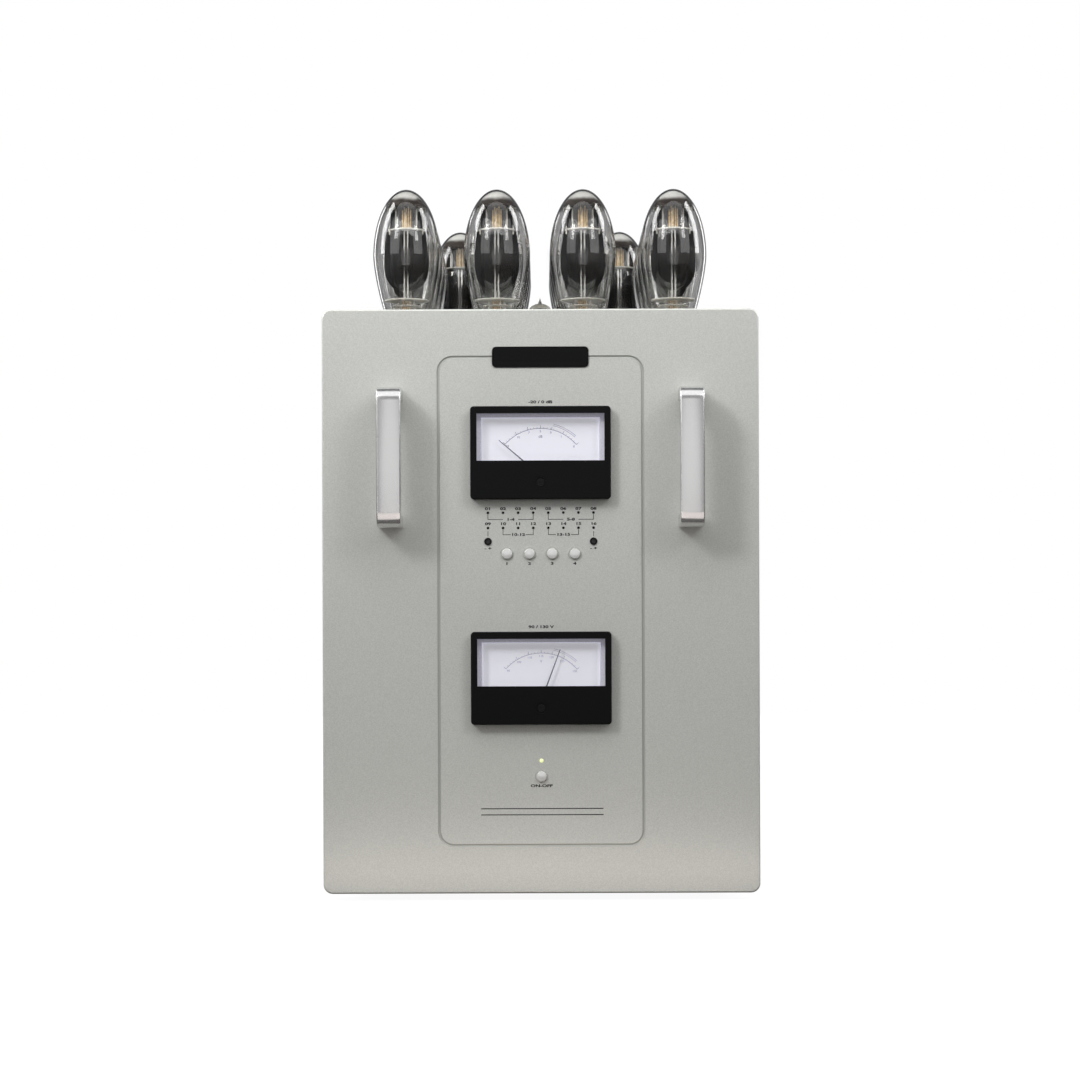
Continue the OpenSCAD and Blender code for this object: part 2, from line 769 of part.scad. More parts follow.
// Rubber feet with a sunk screw hole
module feet() color("#1b1b1b") foot_places() rotate_extrude() polygon([
    [foot_bore_r, 0], [foot_r - foot_edge, 0], [foot_r, foot_edge], [foot_r + foot_flare, foot_h],
    [foot_screw_r + loose_fit, foot_h], [foot_screw_r + loose_fit, foot_h / 2], [foot_bore_r, foot_h / 2]
]);

// Screws that hold the feet, driven from below
module foot_screws() color("#8d8e90") foot_places() translate([0, 0, foot_h / 2]) rotate([180, 0, 0])
    screw(foot_screw_r, foot_h / 2 + bottom_t + foot_screw_past, foot_screw_r * 2, foot_screw_head_h);

// Meters

// White case behind each meter's face, with a shelf that carries the dial
module meter_cases() color("#e9e9ee") at_meters() difference() {
    union() {
        translate([0, 0, -can_depth]) linear_extrude(can_depth) rounded_rect(can_w, can_h, bezel_r - over);
        linear_extrude(flange_t)
            rounded_rect(cavity_w - 2 * loose_fit, cavity_h - 2 * loose_fit, bezel_r / 2);
    }
    translate([can_wall - can_w / 2, can_wall - can_h / 2, can_back])
        cube([can_w - 2 * can_wall, can_h - 2 * can_wall, -can_back - shelf_depth - shelf_t]);
    translate([can_wall - can_w / 2, dial_low, -shelf_depth])
        cube([can_w - 2 * can_wall, can_h / 2 - can_wall - dial_low, shelf_depth + flange_t + over]);
    translate([can_wall - can_w / 2, can_wall - can_h / 2, -shelf_depth - shelf_t - over])
        cube([can_w - 2 * can_wall, dial_low + can_h / 2 - can_wall + over,
              shelf_depth + shelf_t + flange_t + 2 * over]);
}

// Black bezel with its window opening and the bore of the zero screw
module meter_bezels() color("#181818") at_meters() difference() {
    linear_extrude(bezel_out) rounded_rect(meter_w, meter_h, bezel_r);
    translate([0, 0, bezel_out]) front_chamfer(meter_w, meter_h, bezel_r, bezel_chamfer);
    translate([0, 0, -over]) linear_extrude(face_back + over) rounded_rect(cavity_w, cavity_h, bezel_r / 2);
    translate([0, window_y, 0]) linear_extrude(bezel_out + over) square([window_w, window_h], center = true);
    translate([0, zero_y, 0]) cylinder(r = zero_r + slide_fit, h = bezel_out + over);
    translate([0, zero_y, bezel_out - zero_recess[1]]) cylinder(r = zero_recess[0], h = bezel_face);
}

// Clear pane behind the window opening
module meter_windows() color("#cfd6dc", 0.35) at_meters()
    translate([0, window_y, face_back - pane_t / 2])
        cube([window_w + 2 * pane_lap, window_h + 2 * pane_lap, pane_t], center = true);

// White dial plate on two short legs
module meter_dials() color("#f2f2f5") at_meters() {
    dial_top = can_h / 2 - can_wall - over;
    translate([over - can_w / 2 + can_wall, dial_low + over, dial_front - dial_t])
        cube([can_w - 2 * can_wall - 2 * over, dial_top - dial_low - over, dial_t]);
    for (s = [-1, 1]) translate([s * dial_leg_x, (dial_low + dial_top) / 2, -shelf_depth])
        cylinder(r = dial_leg_r, h = shelf_depth + dial_front - dial_t / 2);
}

// Magnet between two bridges that carry the needle's staff
module meter_movements() color("#77787a") at_meters() translate([0, pivot_y, 0]) {
    rotate_extrude() polygon([
        [0, can_back], [movement_r, can_back], [movement_r, can_back + bridge_t],
        [staff_r + slide_fit, can_back + bridge_t], [staff_r + slide_fit, staff_end], [0, staff_end]
    ]);
    rotate_extrude() translate([magnet_bore_r, can_back + bridge_t])
        square([movement_r - magnet_bore_r, front_bridge[0] - can_back - bridge_t]);
    rotate_extrude() translate([staff_r + slide_fit, front_bridge[0]])
        square([movement_r - staff_r - slide_fit, front_bridge[1] - front_bridge[0]]);
}

// Needle with its hub, balance tail, staff and moving coil
module needle(y, angle) color("#2a2a2c") facing() translate([0, y + pivot_y, 0]) rotate([0, 0, -angle]) {
    coil_z = [can_back + bridge_t + coil_gap, front_bridge[0] - coil_gap];
    hub_z = [needle_z - 2 * needle_t, needle_z + 2 * needle_t];
    rotate_extrude() polygon([
        [0, staff_end + lip_gap], [staff_r, staff_end + lip_gap], [staff_r, coil_z[0]],
        [coil_r, coil_z[0]], [coil_r, coil_z[1]], [staff_r, coil_z[1]],
        [staff_r, hub_z[0]], [needle_hub_r, hub_z[0]], [needle_hub_r, hub_z[1]], [0, hub_z[1]]
    ]);
    translate([0, 0, needle_z]) linear_extrude(needle_t) {
        tapered_bar(needle_half_w, needle_len);
        tapered_bar(tail_half_w, -tail_len);
    }
}

// A flat bar from the origin along y, with its half width at each end
module tapered_bar(half_w, length) polygon([
    [-half_w[0], 0], [half_w[0], 0], [half_w[1], length], [-half_w[1], length]
]);

module output_needle() needle(output_meter_y, output_angle);
module line_needle() needle(line_meter_y, line_angle);

// Slotted zero-adjust screw, held behind the bezel's face by its collar
module zero_screw(y) color("#222224") facing() translate([0, y + zero_y, 0]) difference() {
    collar_front = face_back - face_gap;
    rotate_extrude() polygon([
        [0, collar_front - zero_collar[1]], [zero_collar[0], collar_front - zero_collar[1]],
        [zero_collar[0], collar_front], [zero_r, collar_front],
        [zero_r, bezel_out - face_gap], [0, bezel_out - face_gap]
    ]);
    translate([0, 0, bezel_out]) cube([2 * zero_r + over, zero_slot[0], zero_slot[1]], center = true);
}

module output_zero_screw() zero_screw(output_meter_y);
module line_zero_screw() zero_screw(line_meter_y);

// Buttons, lamps and trimmers

// Round push button: cap, retaining lip behind the panel and a stem to its switch
module push_button(k) color("#dcdcda") facing() translate([button_places[k][0], button_places[k][1], 0])
    rotate_extrude() polygon([
        [0, switch_front - stem_grip], [stem_r, switch_front - stem_grip], [stem_r, lip_front - button_lip_t],
        [button_lip_r, lip_front - button_lip_t], [button_lip_r, lip_front], [button_r, lip_front],
        [button_r, button_out - button_edge], [button_r - button_edge, button_out - button_crown],
        [button_r / 2, button_out], [0, button_out]
    ]);

module fan_button() push_button(0);
module light_button() push_button(1);
module bias_button() push_button(2);
module meter_button() push_button(3);
module power_button() push_button(4);

// Sixteen status lamps in two rows, from the board to the panel's face
module status_lamps() color("#2b2b28") facing() for (x = lamp_xs) for (y = lamp_ys)
    translate([x, y, board_front]) cylinder(r = lamp_r, h = -board_front - lamp_sink);

// Domed power lamp
module power_lamp() color("#d9e89a") facing() translate([0, power_lamp_y, board_front]) {
    cylinder(r = power_lamp_r, h = -board_front - power_lamp_sink);
    translate([0, 0, -board_front - power_lamp_sink]) sphere(power_lamp_r);
}

// Black bushings in the panel and the trimmer bodies on the board behind them
module trimmer_bushings() color("#161616") facing()
    for (s = [-1, 1]) translate([s * trimmer_x, trimmer_y, 0]) {
        rotate_extrude() polygon([
            [bushing_bore_r, -panel_t], [bushing_sleeve_r, -panel_t], [bushing_sleeve_r, 0],
            [bushing_r, 0], [bushing_r, bushing_rim_t], [bushing_bore_r, bushing_rim_t]
        ]);
        difference() {
            board_block();
            translate([0, 0, trimmer_floor]) cylinder(r = bushing_bore_r, h = switch_front - board_front);
        }
    }

// The square body of a switch or trimmer, on its board
module board_block() translate([-switch_side / 2, -switch_side / 2, board_front])
    cube([switch_side, switch_side, switch_front - board_front]);

// Slotted trimmer shaft, sunk in its bushing
module bias_trimmer(side) color("#6d6d70") facing() translate([side * trimmer_x, trimmer_y, 0]) difference() {
    translate([0, 0, trimmer_floor + lip_gap])
        cylinder(r = trimmer_r, h = -trimmer_floor - lip_gap - trimmer_sink);
    translate([0, 0, -trimmer_sink])
        cube([2 * trimmer_r + over, trimmer_slot[0], trimmer_slot[1]], center = true);
}

module left_bias_trimmer() bias_trimmer(-1);
module right_bias_trimmer() bias_trimmer(1);

// Control boards on standoffs behind the panel: one for the lamps and buttons, one for the power switch
module control_boards() color("#2f5d3a") facing() {
    control_board(trimmer_x + board_margin, button_y - board_margin, lamp_y + board_margin);
    control_board(power_board_half_w, power_y - 2 * board_margin, power_lamp_y + 2 * board_margin);
}

module control_board(half_w, low, high) {
    translate([-half_w, low, board_front - board_t]) cube([2 * half_w, high - low, board_t]);
    for (s = [-1, 1]) for (y = [low + standoff_inset, high - standoff_inset])
        translate([s * (half_w - standoff_inset), y, board_front]) cylinder(r = standoff_r, h = board_gap);
}

// Switch bodies that take the buttons' stems
module panel_switches() color("#1f1f20") facing() for (p = button_places)
    translate([p[0], p[1], 0]) difference() {
        stem_bore = stem_grip + button_travel + bevel;
        board_block();
        translate([0, 0, switch_front - stem_bore]) cylinder(r = stem_r + slide_fit, h = stem_bore + over);
    }

// Rear connections

// Speaker posts: threaded stud with its plug bore, outer insulator and inner insulating washer
module speaker_posts() color("#c8a24a") rear_facing() for (x = post_xs) translate([x, post_y, 0]) {
    lock_front = -rear_t - inner_washer[1];
    lock_back = lock_front - lock_nut[1];
    rotate_extrude() polygon([
        [0, -rear_t - stud_inside], [stud_r, -rear_t - stud_inside], [stud_r, lock_back],
        [stud_r + lock_nut[0], lock_back], [stud_r + lock_nut[0], lock_front], [stud_r, lock_front],
        [stud_r, post_out - bevel], [stud_r - bevel, post_out],
        [plug_r, post_out], [plug_r, post_out - plug_depth], [0, post_out - plug_depth]
    ]);
    rotate_extrude() polygon([
        [stud_r + slide_fit, -rear_t], [insulator_neck_r, -rear_t], [insulator_neck_r, 0], [insulator_r, 0],
        [insulator_r, insulator_h], [stud_r + slide_fit, insulator_h]
    ]);
    rotate_extrude() translate([stud_r + slide_fit, lock_front]) square(inner_washer);
}

// Clamp washer that slides on a speaker post
module speaker_washer(k) color("#c8a24a") rear_facing() translate([post_xs[k], post_y, washer_z])
    rotate_extrude() translate([stud_r + slide_fit, 0]) square([nut_r - over - stud_r, washer_t]);

// Fluted thumb nut on a speaker post
module speaker_nut(k) color("#b8963f") rear_facing() translate([post_xs[k], post_y, nut_z]) difference() {
    rotate_extrude() polygon([
        [stud_r + slide_fit, 0], [nut_r - bevel, 0], [nut_r, bevel], [nut_r, nut_len - nut_edge],
        [nut_r - nut_edge, nut_len], [stud_r + slide_fit, nut_len]
    ]);
    for (a = [0:flute_step:360 - flute_step]) rotate([0, 0, a]) translate([nut_r + flute_out, 0, -over])
        cylinder(r = flute_r, h = nut_len + 2 * over, $fn = 24);
}

module speaker_washer_1() speaker_washer(0);
module speaker_washer_2() speaker_washer(1);
module speaker_washer_3() speaker_washer(2);
module speaker_washer_4() speaker_washer(3);
module speaker_nut_1() speaker_nut(0);
module speaker_nut_2() speaker_nut(1);
module speaker_nut_3() speaker_nut(2);
module speaker_nut_4() speaker_nut(3);

// Mains inlet: flanged body with a deep cavity and three flat pins
module mains_inlet() color("#171717") difference() {
    rear_facing() translate([inlet_x, inlet_y, 0]) {
        difference() {
            union() {
                translate([0, 0, inlet_plate[2] - inlet_body[2]]) linear_extrude(inlet_body[2])
                    square([inlet_body[0], inlet_body[1]], center = true);
                linear_extrude(inlet_plate[2]) rounded_rect(inlet_plate[0], inlet_plate[1], inlet_plate_r);
            }
            translate([0, 0, inlet_plate[2] - inlet_cavity[2]]) linear_extrude(inlet_cavity[2] + over)
                rounded_rect(inlet_cavity[0], inlet_cavity[1], plate_corner_r);
        }
        for (p = inlet_pin_places)
            translate([p[0] - inlet_pin[0] / 2, p[1] - inlet_pin[1] / 2, inlet_plate[2] - inlet_cavity[2]])
                cube(inlet_pin);
    }
    inlet_screw_places() screw_hole(screw_r, inlet_plate[2]);
}

// Three-pole signal input socket
module input_socket() color("#2a2b2d") difference() {
    rear_facing() translate([input_x, input_y, 0]) difference() {
        union() {
            translate([0, 0, -xlr_depth]) cylinder(r = xlr_r, h = xlr_depth + xlr_plate[2]);
            linear_extrude(xlr_plate[2]) rounded_rect(xlr_plate[0], xlr_plate[1], plate_corner_r);
        }
        translate([0, 0, xlr_plate[2] - xlr_groove[2]]) difference() {
            cylinder(r = xlr_groove[1], h = xlr_groove[2] + over);
            cylinder(r = xlr_groove[0], h = xlr_groove[2] + over);
        }
        for (a = [30, 150, 270]) rotate([0, 0, a]) translate([xlr_hole[0], 0, xlr_plate[2] - xlr_hole[2]])
            cylinder(r = xlr_hole[1], h = xlr_hole[2] + over);
    }
    input_screw_places() screw_hole(screw_r, xlr_plate[2]);
}

// Square fan frames with their bearing hubs, behind the rear panel
module fan_frames() color("#202123") difference() {
    rear_facing() for (s = [-1, 1]) translate([s * fan_x, fan_y, -rear_t - fan_t]) difference() {
        union() {
            linear_extrude(fan_t) difference() {
                rounded_rect(fan_side, fan_side, fan_corner_r);
                circle(fan_bore_r);
            }
            cylinder(r = rotor_hub_r - rotor_wall - over, h = fan_hub_t);
            cylinder(r = bearing_r, h = bearing_h);
            for (a = [45:90:315]) rotate([0, 0, a]) translate([bearing_r, -fan_spoke_w / 2, 0])
                cube([fan_bore_r - bearing_r + 1, fan_spoke_w, fan_hub_t]);
        }
        translate([0, 0, -over]) cylinder(r = fan_shaft_r + slide_fit, h = bearing_h + 2 * over);
    }
    guard_screw_places() screw_hole(screw_r, guard_t + rear_t + screw_grip);
}

// Fan rotor: cup, shaft and flat pitched blades
module fan_rotor(side) color("#26272a") rear_facing() translate([side * fan_x, fan_y, -rear_t - fan_t]) {
    cup_r = rotor_hub_r - rotor_wall;
    cup_front = fan_hub_t + 1;
    web_front = rotor_back - rotor_web;
    rotate_extrude() polygon([
        [0, fan_shaft_start], [fan_shaft_r, fan_shaft_start], [fan_shaft_r, web_front], [cup_r, web_front],
        [cup_r, cup_front], [rotor_hub_r, cup_front], [rotor_hub_r, rotor_back], [0, rotor_back]
    ]);
    for (k = [0:fan_blades - 1]) rotate([0, 0, k * 360 / fan_blades])
        translate([rotor_hub_r - rotor_wall / 2, 0, fan_t / 2]) rotate([blade_pitch, 0, 0])
            translate([0, -blade_t / 2, -blade_h / 2])
                cube([fan_bore_r - rotor_hub_r - blade_gap, blade_t, blade_h]);
}

module left_fan_rotor() fan_rotor(1);
module right_fan_rotor() fan_rotor(-1);

// Finger guards over the fan openings
module fan_guards() color("#8f9092") difference() {
    rear_facing() for (s = [-1, 1]) translate([s * fan_x, fan_y, 0]) linear_extrude(guard_t) {
        for (r = [guard_first_r:guard_pitch:fan_bore_r]) difference() {
            circle(r + guard_wire / 2);
            circle(r - guard_wire / 2);
        }
        for (a = [45:90:315]) rotate(a) translate([guard_first_r, -guard_spoke_w / 2])
            square([fan_hole * sqrt(2) - guard_first_r, guard_spoke_w]);
        for (x = [-1, 1]) for (y = [-1, 1]) translate([x, y] * fan_hole) circle(screw_head_r + 1);
    }
    guard_screw_places() screw_hole(screw_r, guard_t);
}

// Inside the case

// Laminated core with two windows, and the coil round its middle leg
module transformer(x, core_t) translate([x, transformer_y, bottom_top]) {
    translate([0, core_t / 2, core_h / 2]) rotate([90, 0, 0]) linear_extrude(core_t) difference() {
        square([core_w, core_h], center = true);
        for (s = [-1, 1]) translate([s * (core_leg + core_window[0]) / 2, 0])
            square(core_window, center = true);
    }
    translate([0, 0, core_limb + loose_fit]) linear_extrude(core_window[1] - 2 * loose_fit) difference() {
        rounded_rect(core_leg + 2 * (core_window[0] - coil_side_gap), core_t + coil_depth, coil_corner_r);
        square([core_leg, core_t] + 2 * [loose_fit, loose_fit], center = true);
    }
}

module power_transformer() color("#6b4a2b") transformer(-transformer_x, power_core_t);
module output_transformer() color("#6b4a2b") transformer(transformer_x, output_core_t);

// Filter capacitors standing on the bottom plate
module filter_capacitors() color("#2b3a55")
    for (x = [-1.5, -0.5, 0.5, 1.5]) for (row = [0, 1])
        translate([x * can_cap_pitch, can_cap_y + row * can_cap_pitch, bottom_top])
            rotate_extrude() polygon([
                [0, 0], [can_cap_r - can_cap_edge, 0], [can_cap_r, can_cap_edge],
                [can_cap_r, can_cap_h - can_cap_edge], [can_cap_r - can_cap_edge, can_cap_h],
                [can_cap_r - can_cap_lip, can_cap_h], [can_cap_r - can_cap_lip, can_cap_h - can_cap_lip],
                [0, can_cap_h - can_cap_lip]
            ]);

// Main board below the tube sockets
module main_board() color("#2f5d3a")
    translate([-outer_column - socket_rim_r, row_ys[0] - socket_rim_r, socket_low - board_t])
        cube([2 * (outer_column + socket_rim_r), driver_y - row_ys[0] + 2 * socket_rim_r, board_t]);

// Tubes

// Socket: rim on the deck, body down to the board, holes for the pins and the key
module tube_sockets() color("#2a211c") {
    at_power_tubes() pin_socket(socket_r, socket_rim_r, key_r + loose_fit) octal_pins(pin_r + loose_fit);
    at_signal_tubes() pin_socket(signal_socket_r, signal_rim_r, signal_hole_r)
        noval_pins(signal_pin_r + loose_fit);
}

module pin_socket(r, rim_r, hole_r) difference() {
    rotate_extrude() polygon([
        [hole_r, socket_low - seat_z], [r, socket_low - seat_z], [r, -socket_rim_t], [rim_r, -socket_rim_t],
        [rim_r, -bevel], [rim_r - bevel, 0], [hole_r, 0]
    ]);
    translate([0, 0, -pin_len - pin_room]) linear_extrude(pin_len + pin_room + over) children();
}

module octal_pins(r) for (k = [0:7]) rotate(k * 45 + 22.5) translate([pin_circle, 0]) circle(r, $fn = 24);
module noval_pins(r) for (k = [1:9]) rotate(k * 36) translate([signal_pin_circle, 0]) circle(r, $fn = 24);

// Dark moulded base of a power tube, with its locating key
module power_tube_bases() color("#3b2a20") at_power_tubes() rotate_extrude() polygon([
    [0, -pin_len - pin_room], [key_r, -pin_len - pin_room], [key_r, 0], [base_r - bevel, 0],
    [base_r, bevel], [base_r, base_h - base_shoulder], [base_r - bevel, base_h],
    [neck_r + loose_fit, base_h], [neck_r + loose_fit, base_floor], [0, base_floor]
]);

// Contact pins of all tubes
module tube_pins() color("#b9bcc0") {
    at_power_tubes() translate([0, 0, -pin_len]) linear_extrude(pin_len) octal_pins(pin_r);
    at_signal_tubes() translate([0, 0, -pin_len / 2]) linear_extrude(pin_len / 2) noval_pins(signal_pin_r);
}

// Radius of the egg-shaped bulb at a distance t below its top: an elliptic dome down to the belly,
// then a taper that steepens towards the neck
function egg_radius(t, r, belly) = t < belly
    ? r * sqrt(max(0, 1 - pow(1 - t / belly, 2)))
    : r - (bulb_r - neck_r) * pow((t - belly) / (bulb_h - belly), taper_power);

function egg_outline(r, belly, top) = concat(
    [for (k = [0:dome_steps - 1]) let (t = belly * (1 - cos(90 * k / dome_steps)))
        [egg_radius(t, r, belly), top - t]],
    [for (k = [0:taper_steps]) let (t = belly + (bulb_h - belly) * k / taper_steps)
        [egg_radius(t, r, belly), tube_h - (bulb_h - belly) * k / taper_steps - bulb_belly]]
);

// Egg-shaped glass bulbs, open at the neck inside the base
module power_tube_glass() color("#dfe6ea", 0.3) at_power_tubes() {
    outside = egg_outline(bulb_r, bulb_belly, tube_h);
    inside = egg_outline(bulb_r - glass_t, bulb_belly - glass_t, tube_h - glass_t);
    rotate_extrude() polygon(concat(
        outside, [[neck_r, base_floor], [neck_r - glass_t, base_floor]],
        [for (k = [len(inside) - 1:-1:0]) inside[k]]
    ));
}

// Electrodes: the stem, anode box, mica spacers and grid posts of each tube
module tube_electrodes() color("#3c3c3e") {
    at_power_tubes() electrode_cage();
    at_signal_tubes() signal_cage();
}

module electrode_cage() {
    anode_low = tube_h - anode_down - anode[2];
    anode_high = tube_h - anode_down;
    for (s = [-1, 1]) translate([s * support_rod[1], 0, base_floor])
        cylinder(r = support_rod[0], h = anode_low + mica_t - base_floor);
    translate([0, 0, tube_h - low_mica_down]) cylinder(r = low_mica_r, h = mica_t);
    translate([-anode[0] / 2, -anode[1] / 2, anode_low]) cube(anode);
    translate([0, 0, anode_high - face_gap]) cylinder(r = anode_mica_r, h = mica_t);
    for (s = [-1, 1]) translate([s * grid_rod[1], 0, anode_high - mica_t])
        cylinder(r = grid_rod[0], h = anode_down - top_mica_down + 2 * mica_t);
    translate([0, 0, tube_h - top_mica_down]) cylinder(r = top_mica_r, h = mica_t);
}

module signal_cage() {
    for (s = [-1, 1]) translate([s * signal_rod[1], 0, signal_wall])
        cylinder(r = signal_rod[0], h = signal_mica_up - signal_wall + signal_mica_t);
    translate([-signal_anode[0] / 2, -signal_anode[1] / 2, signal_mica_up]) cube(signal_anode);
    for (z = [signal_mica_up, signal_mica_up + signal_anode[2]])
        translate([0, 0, z]) cylinder(r = signal_mica_r, h = signal_mica_t);
}

// Small glass tubes with a domed, pointed top
module signal_tube_glass() color("#dfe6ea", 0.3) at_signal_tubes() {
    outside = signal_outline(signal_r, signal_h, signal_tip_r);
    inside = signal_outline(signal_r - signal_wall, signal_h - signal_tip_wall, signal_inner_tip_r);
    rotate_extrude() polygon(concat(
        [[0, 0]], outside,
        [for (k = [len(inside) - 1:-1:0]) [inside[k][0], max(inside[k][1], signal_wall)]],
        [[0, signal_wall]]
    ));
}

function signal_outline(r, top, tip_r) = concat(
    [[r - bevel, 0], [r, bevel]],
    [for (a = [0:15:90]) [max(tip_r, r * cos(a)), top - signal_tip_h - signal_dome_h * (1 - sin(a))]],
    [[tip_r * 0.8, top - tip_r], [0, top]]
);

front_panel();
handle_left();
handle_right();
handle_bolts();
badge_plate();
bottom_plate();
side_cover_left();
side_cover_right();
rear_panel();
top_deck();
corner_posts();
case_screws();
feet();
foot_screws();
meter_cases();
meter_bezels();
meter_windows();
meter_dials();
meter_movements();
output_needle();
line_needle();
output_zero_screw();
line_zero_screw();
fan_button();
light_button();
bias_button();
meter_button();
power_button();
status_lamps();
power_lamp();
trimmer_bushings();
left_bias_trimmer();
right_bias_trimmer();
control_boards();
panel_switches();
speaker_posts();
speaker_washer_1();
speaker_washer_2();
speaker_washer_3();
speaker_washer_4();
speaker_nut_1();
speaker_nut_2();
speaker_nut_3();
speaker_nut_4();
mains_inlet();
input_socket();
fan_frames();
left_fan_rotor();
right_fan_rotor();
fan_guards();
power_transformer();
output_transformer();
filter_capacitors();
main_board();
tube_sockets();
power_tube_bases();
tube_pins();
power_tube_glass();
tube_electrodes();
signal_tube_glass();
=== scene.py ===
import json
import math

import bmesh
import bpy
import numpy as np
from bpy.props import FloatProperty, FloatVectorProperty, PointerProperty
from bpy.types import Operator, Panel, PropertyGroup
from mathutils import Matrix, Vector


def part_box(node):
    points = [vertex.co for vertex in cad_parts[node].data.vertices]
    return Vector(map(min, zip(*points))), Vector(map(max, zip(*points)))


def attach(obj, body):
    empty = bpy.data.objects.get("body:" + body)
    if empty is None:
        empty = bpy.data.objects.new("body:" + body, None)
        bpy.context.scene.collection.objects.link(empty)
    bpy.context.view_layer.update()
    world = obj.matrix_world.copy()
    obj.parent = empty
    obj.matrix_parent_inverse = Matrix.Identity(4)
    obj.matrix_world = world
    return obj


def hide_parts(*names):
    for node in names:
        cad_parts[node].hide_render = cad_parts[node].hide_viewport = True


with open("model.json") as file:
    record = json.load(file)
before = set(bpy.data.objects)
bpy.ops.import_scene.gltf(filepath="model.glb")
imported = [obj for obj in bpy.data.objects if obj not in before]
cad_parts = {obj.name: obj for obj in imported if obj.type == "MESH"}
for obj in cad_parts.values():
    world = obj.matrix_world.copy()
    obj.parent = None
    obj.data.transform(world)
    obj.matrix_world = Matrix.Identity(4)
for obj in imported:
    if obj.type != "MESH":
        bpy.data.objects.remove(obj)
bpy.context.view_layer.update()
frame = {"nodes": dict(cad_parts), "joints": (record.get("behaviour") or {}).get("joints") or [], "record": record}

# Looks of a vacuum-tube monoblock amplifier, made round its packed construction model.
# Property groups hold the sizes and colours that a user would change, one operator makes each group of
# pieces, and a panel lists the operators. Lengths are in metres, and MM turns millimetres into them.

bl_info = {
    "name": "Tube monoblock amplifier",
    "version": (1, 0, 0),
    "blender": (4, 5, 0),
    "location": "3D View > Sidebar > Amplifier",
    "description": "Builds the looks of a tube monoblock amplifier round its construction model",
    "category": "Object",
}

MM = 0.001
MERGE = 1e-7
SHARP_DEG = 32.0

# Frames for turned pieces: side, other side and axis
UP = np.array(((1.0, 0.0, 0.0), (0.0, 1.0, 0.0), (0.0, 0.0, 1.0)))
FRONT = np.array(((1.0, 0.0, 0.0), (0.0, 0.0, 1.0), (0.0, -1.0, 0.0)))


def corners(node):
    """Lowest and highest corner of a construction node, as arrays."""
    low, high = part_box(node)
    return np.array(low), np.array(high)


def pivot(joint_name):
    """The place of a joint, as an array."""
    row = next(row for row in frame["joints"] if row["name"] == joint_name)
    return np.array(row["pos_m"])


PANEL_LOW, PANEL_HIGH = corners("front_panel")
PANEL_FRONT = PANEL_LOW[1]
BASE_LOW, BASE_HIGH = corners("power_tube_bases")
TUBE_TOP = corners("power_tube_glass")[1][2]


# Sizes and colours that a user would change

def length(name, description, millimetres):
    """A length property whose default is given in millimetres."""
    return FloatProperty(
        name=name, description=description, default=millimetres * MM, min=0.0, unit="LENGTH", precision=4
    )


def linear(code):
    """Turns an sRGB hex colour into linear red, green, blue and full alpha, by the standard's own formula."""
    channels = [int(code[k:k + 2], 16) / 255 for k in (1, 3, 5)]
    return tuple(c / 12.92 if c <= 0.04045 else ((c + 0.055) / 1.055) ** 2.4 for c in channels) + (1.0,)


def colour(name, description, code):
    """A colour property whose default is given as an sRGB hex value."""
    return FloatVectorProperty(
        name=name, description=description, default=linear(code), size=4, min=0.0, max=1.0, subtype="COLOR"
    )


def watts(name, description, power):
    """A property that holds a lamp's power."""
    return FloatProperty(name=name, description=description, default=power, min=0.0, unit="POWER")


class AMP_PG_tubes(PropertyGroup):
    """Sizes of the power tubes and what is inside them."""

    bulb_radius: length("Bulb radius", "Largest radius of a power tube's bulb", 29.8)
    belly: length("Belly", "Depth of the widest place below the bulb's top", 60.0)
    neck_radius: length("Neck radius", "Radius of the bulb where it enters its base", 17.5)
    neck_depth: length("Neck depth", "Depth of the neck below the bulb's top", 119.0)
    foot_depth: length("Foot depth", "Depth of the glass's lower end below the bulb's top", 132.5)
    wall: length("Glass wall", "Thickness of the glass", 1.6)
    getter_depth: length("Getter depth", "Depth of the silvered cap below the bulb's top", 20.0)
    flash_radius: length("Flash radius", "Radius of the round dark flash on a bulb's side", 18.0)
    flash_depth: length("Flash depth", "Depth of that flash's middle below the bulb's top", 69.0)
    base_radius: length("Base radius", "Radius of a tube's base", 20.0)
    inner_column: length("Inner column", "Distance of the inner columns from the middle", 38.5)
    row_pitch: length("Row pitch", "Distance from one row of tubes to the next", 69.0)
    driver_gap: length("Driver gap", "Distance from the last row to the driver tubes", 52.0)


class AMP_PG_front(PropertyGroup):
    """Sizes of the handles, the buttons and the printing on the front."""

    handle_bar: length("Handle bar", "Thickness of a handle's bar", 11.0)
    handle_outer_radius: length("Outer radius", "Outer corner radius of a handle", 12.0)
    handle_inner_radius: length("Inner radius", "Inner corner radius of a handle", 4.0)
    handle_edge: length("Handle edge", "Rounding of a handle's long edges", 1.2)
    scale_radius: length("Scale radius", "Radius of a meter's scale line", 40.0)
    line_width: length("Line width", "Width of the printed lines", 0.5)
    numeral_height: length("Numeral height", "Height of the small printed numbers", 2.2)
    frame_width: length("Frame width", "Width of the engraved frame line", 172.0)
    frame_height: length("Frame height", "Height of the engraved frame line", 411.0)
    frame_radius: length("Frame radius", "Corner radius of the engraved frame line", 12.0)
    groove_width: length("Groove width", "Width of the engraved groove", 2.6)
    groove_depth: length("Groove depth", "Depth of the engraved groove", 1.0)


class AMP_PG_finish(PropertyGroup):
    """Colours of the main finishes."""

    panel: colour("Panel", "Bead-blasted front panel", "#DADBD6")
    handle: colour("Handle", "Satin handles", "#E7E7E7")
    case: colour("Case", "Powder-coated covers", "#232427")
    bezel: colour("Bezel", "Moulded meter bezels", "#0C0C0D")
    # The dial's faint blue is painted: the violet tint of the shade inside the meter.
    dial: colour("Dial", "Painted meter dials", "#EFEFF3")
    anode: colour("Anode", "Blackened anode plates", "#0D0C0C")
    grid: colour("Grid", "Gold-plated grid fins", "#E2B780")


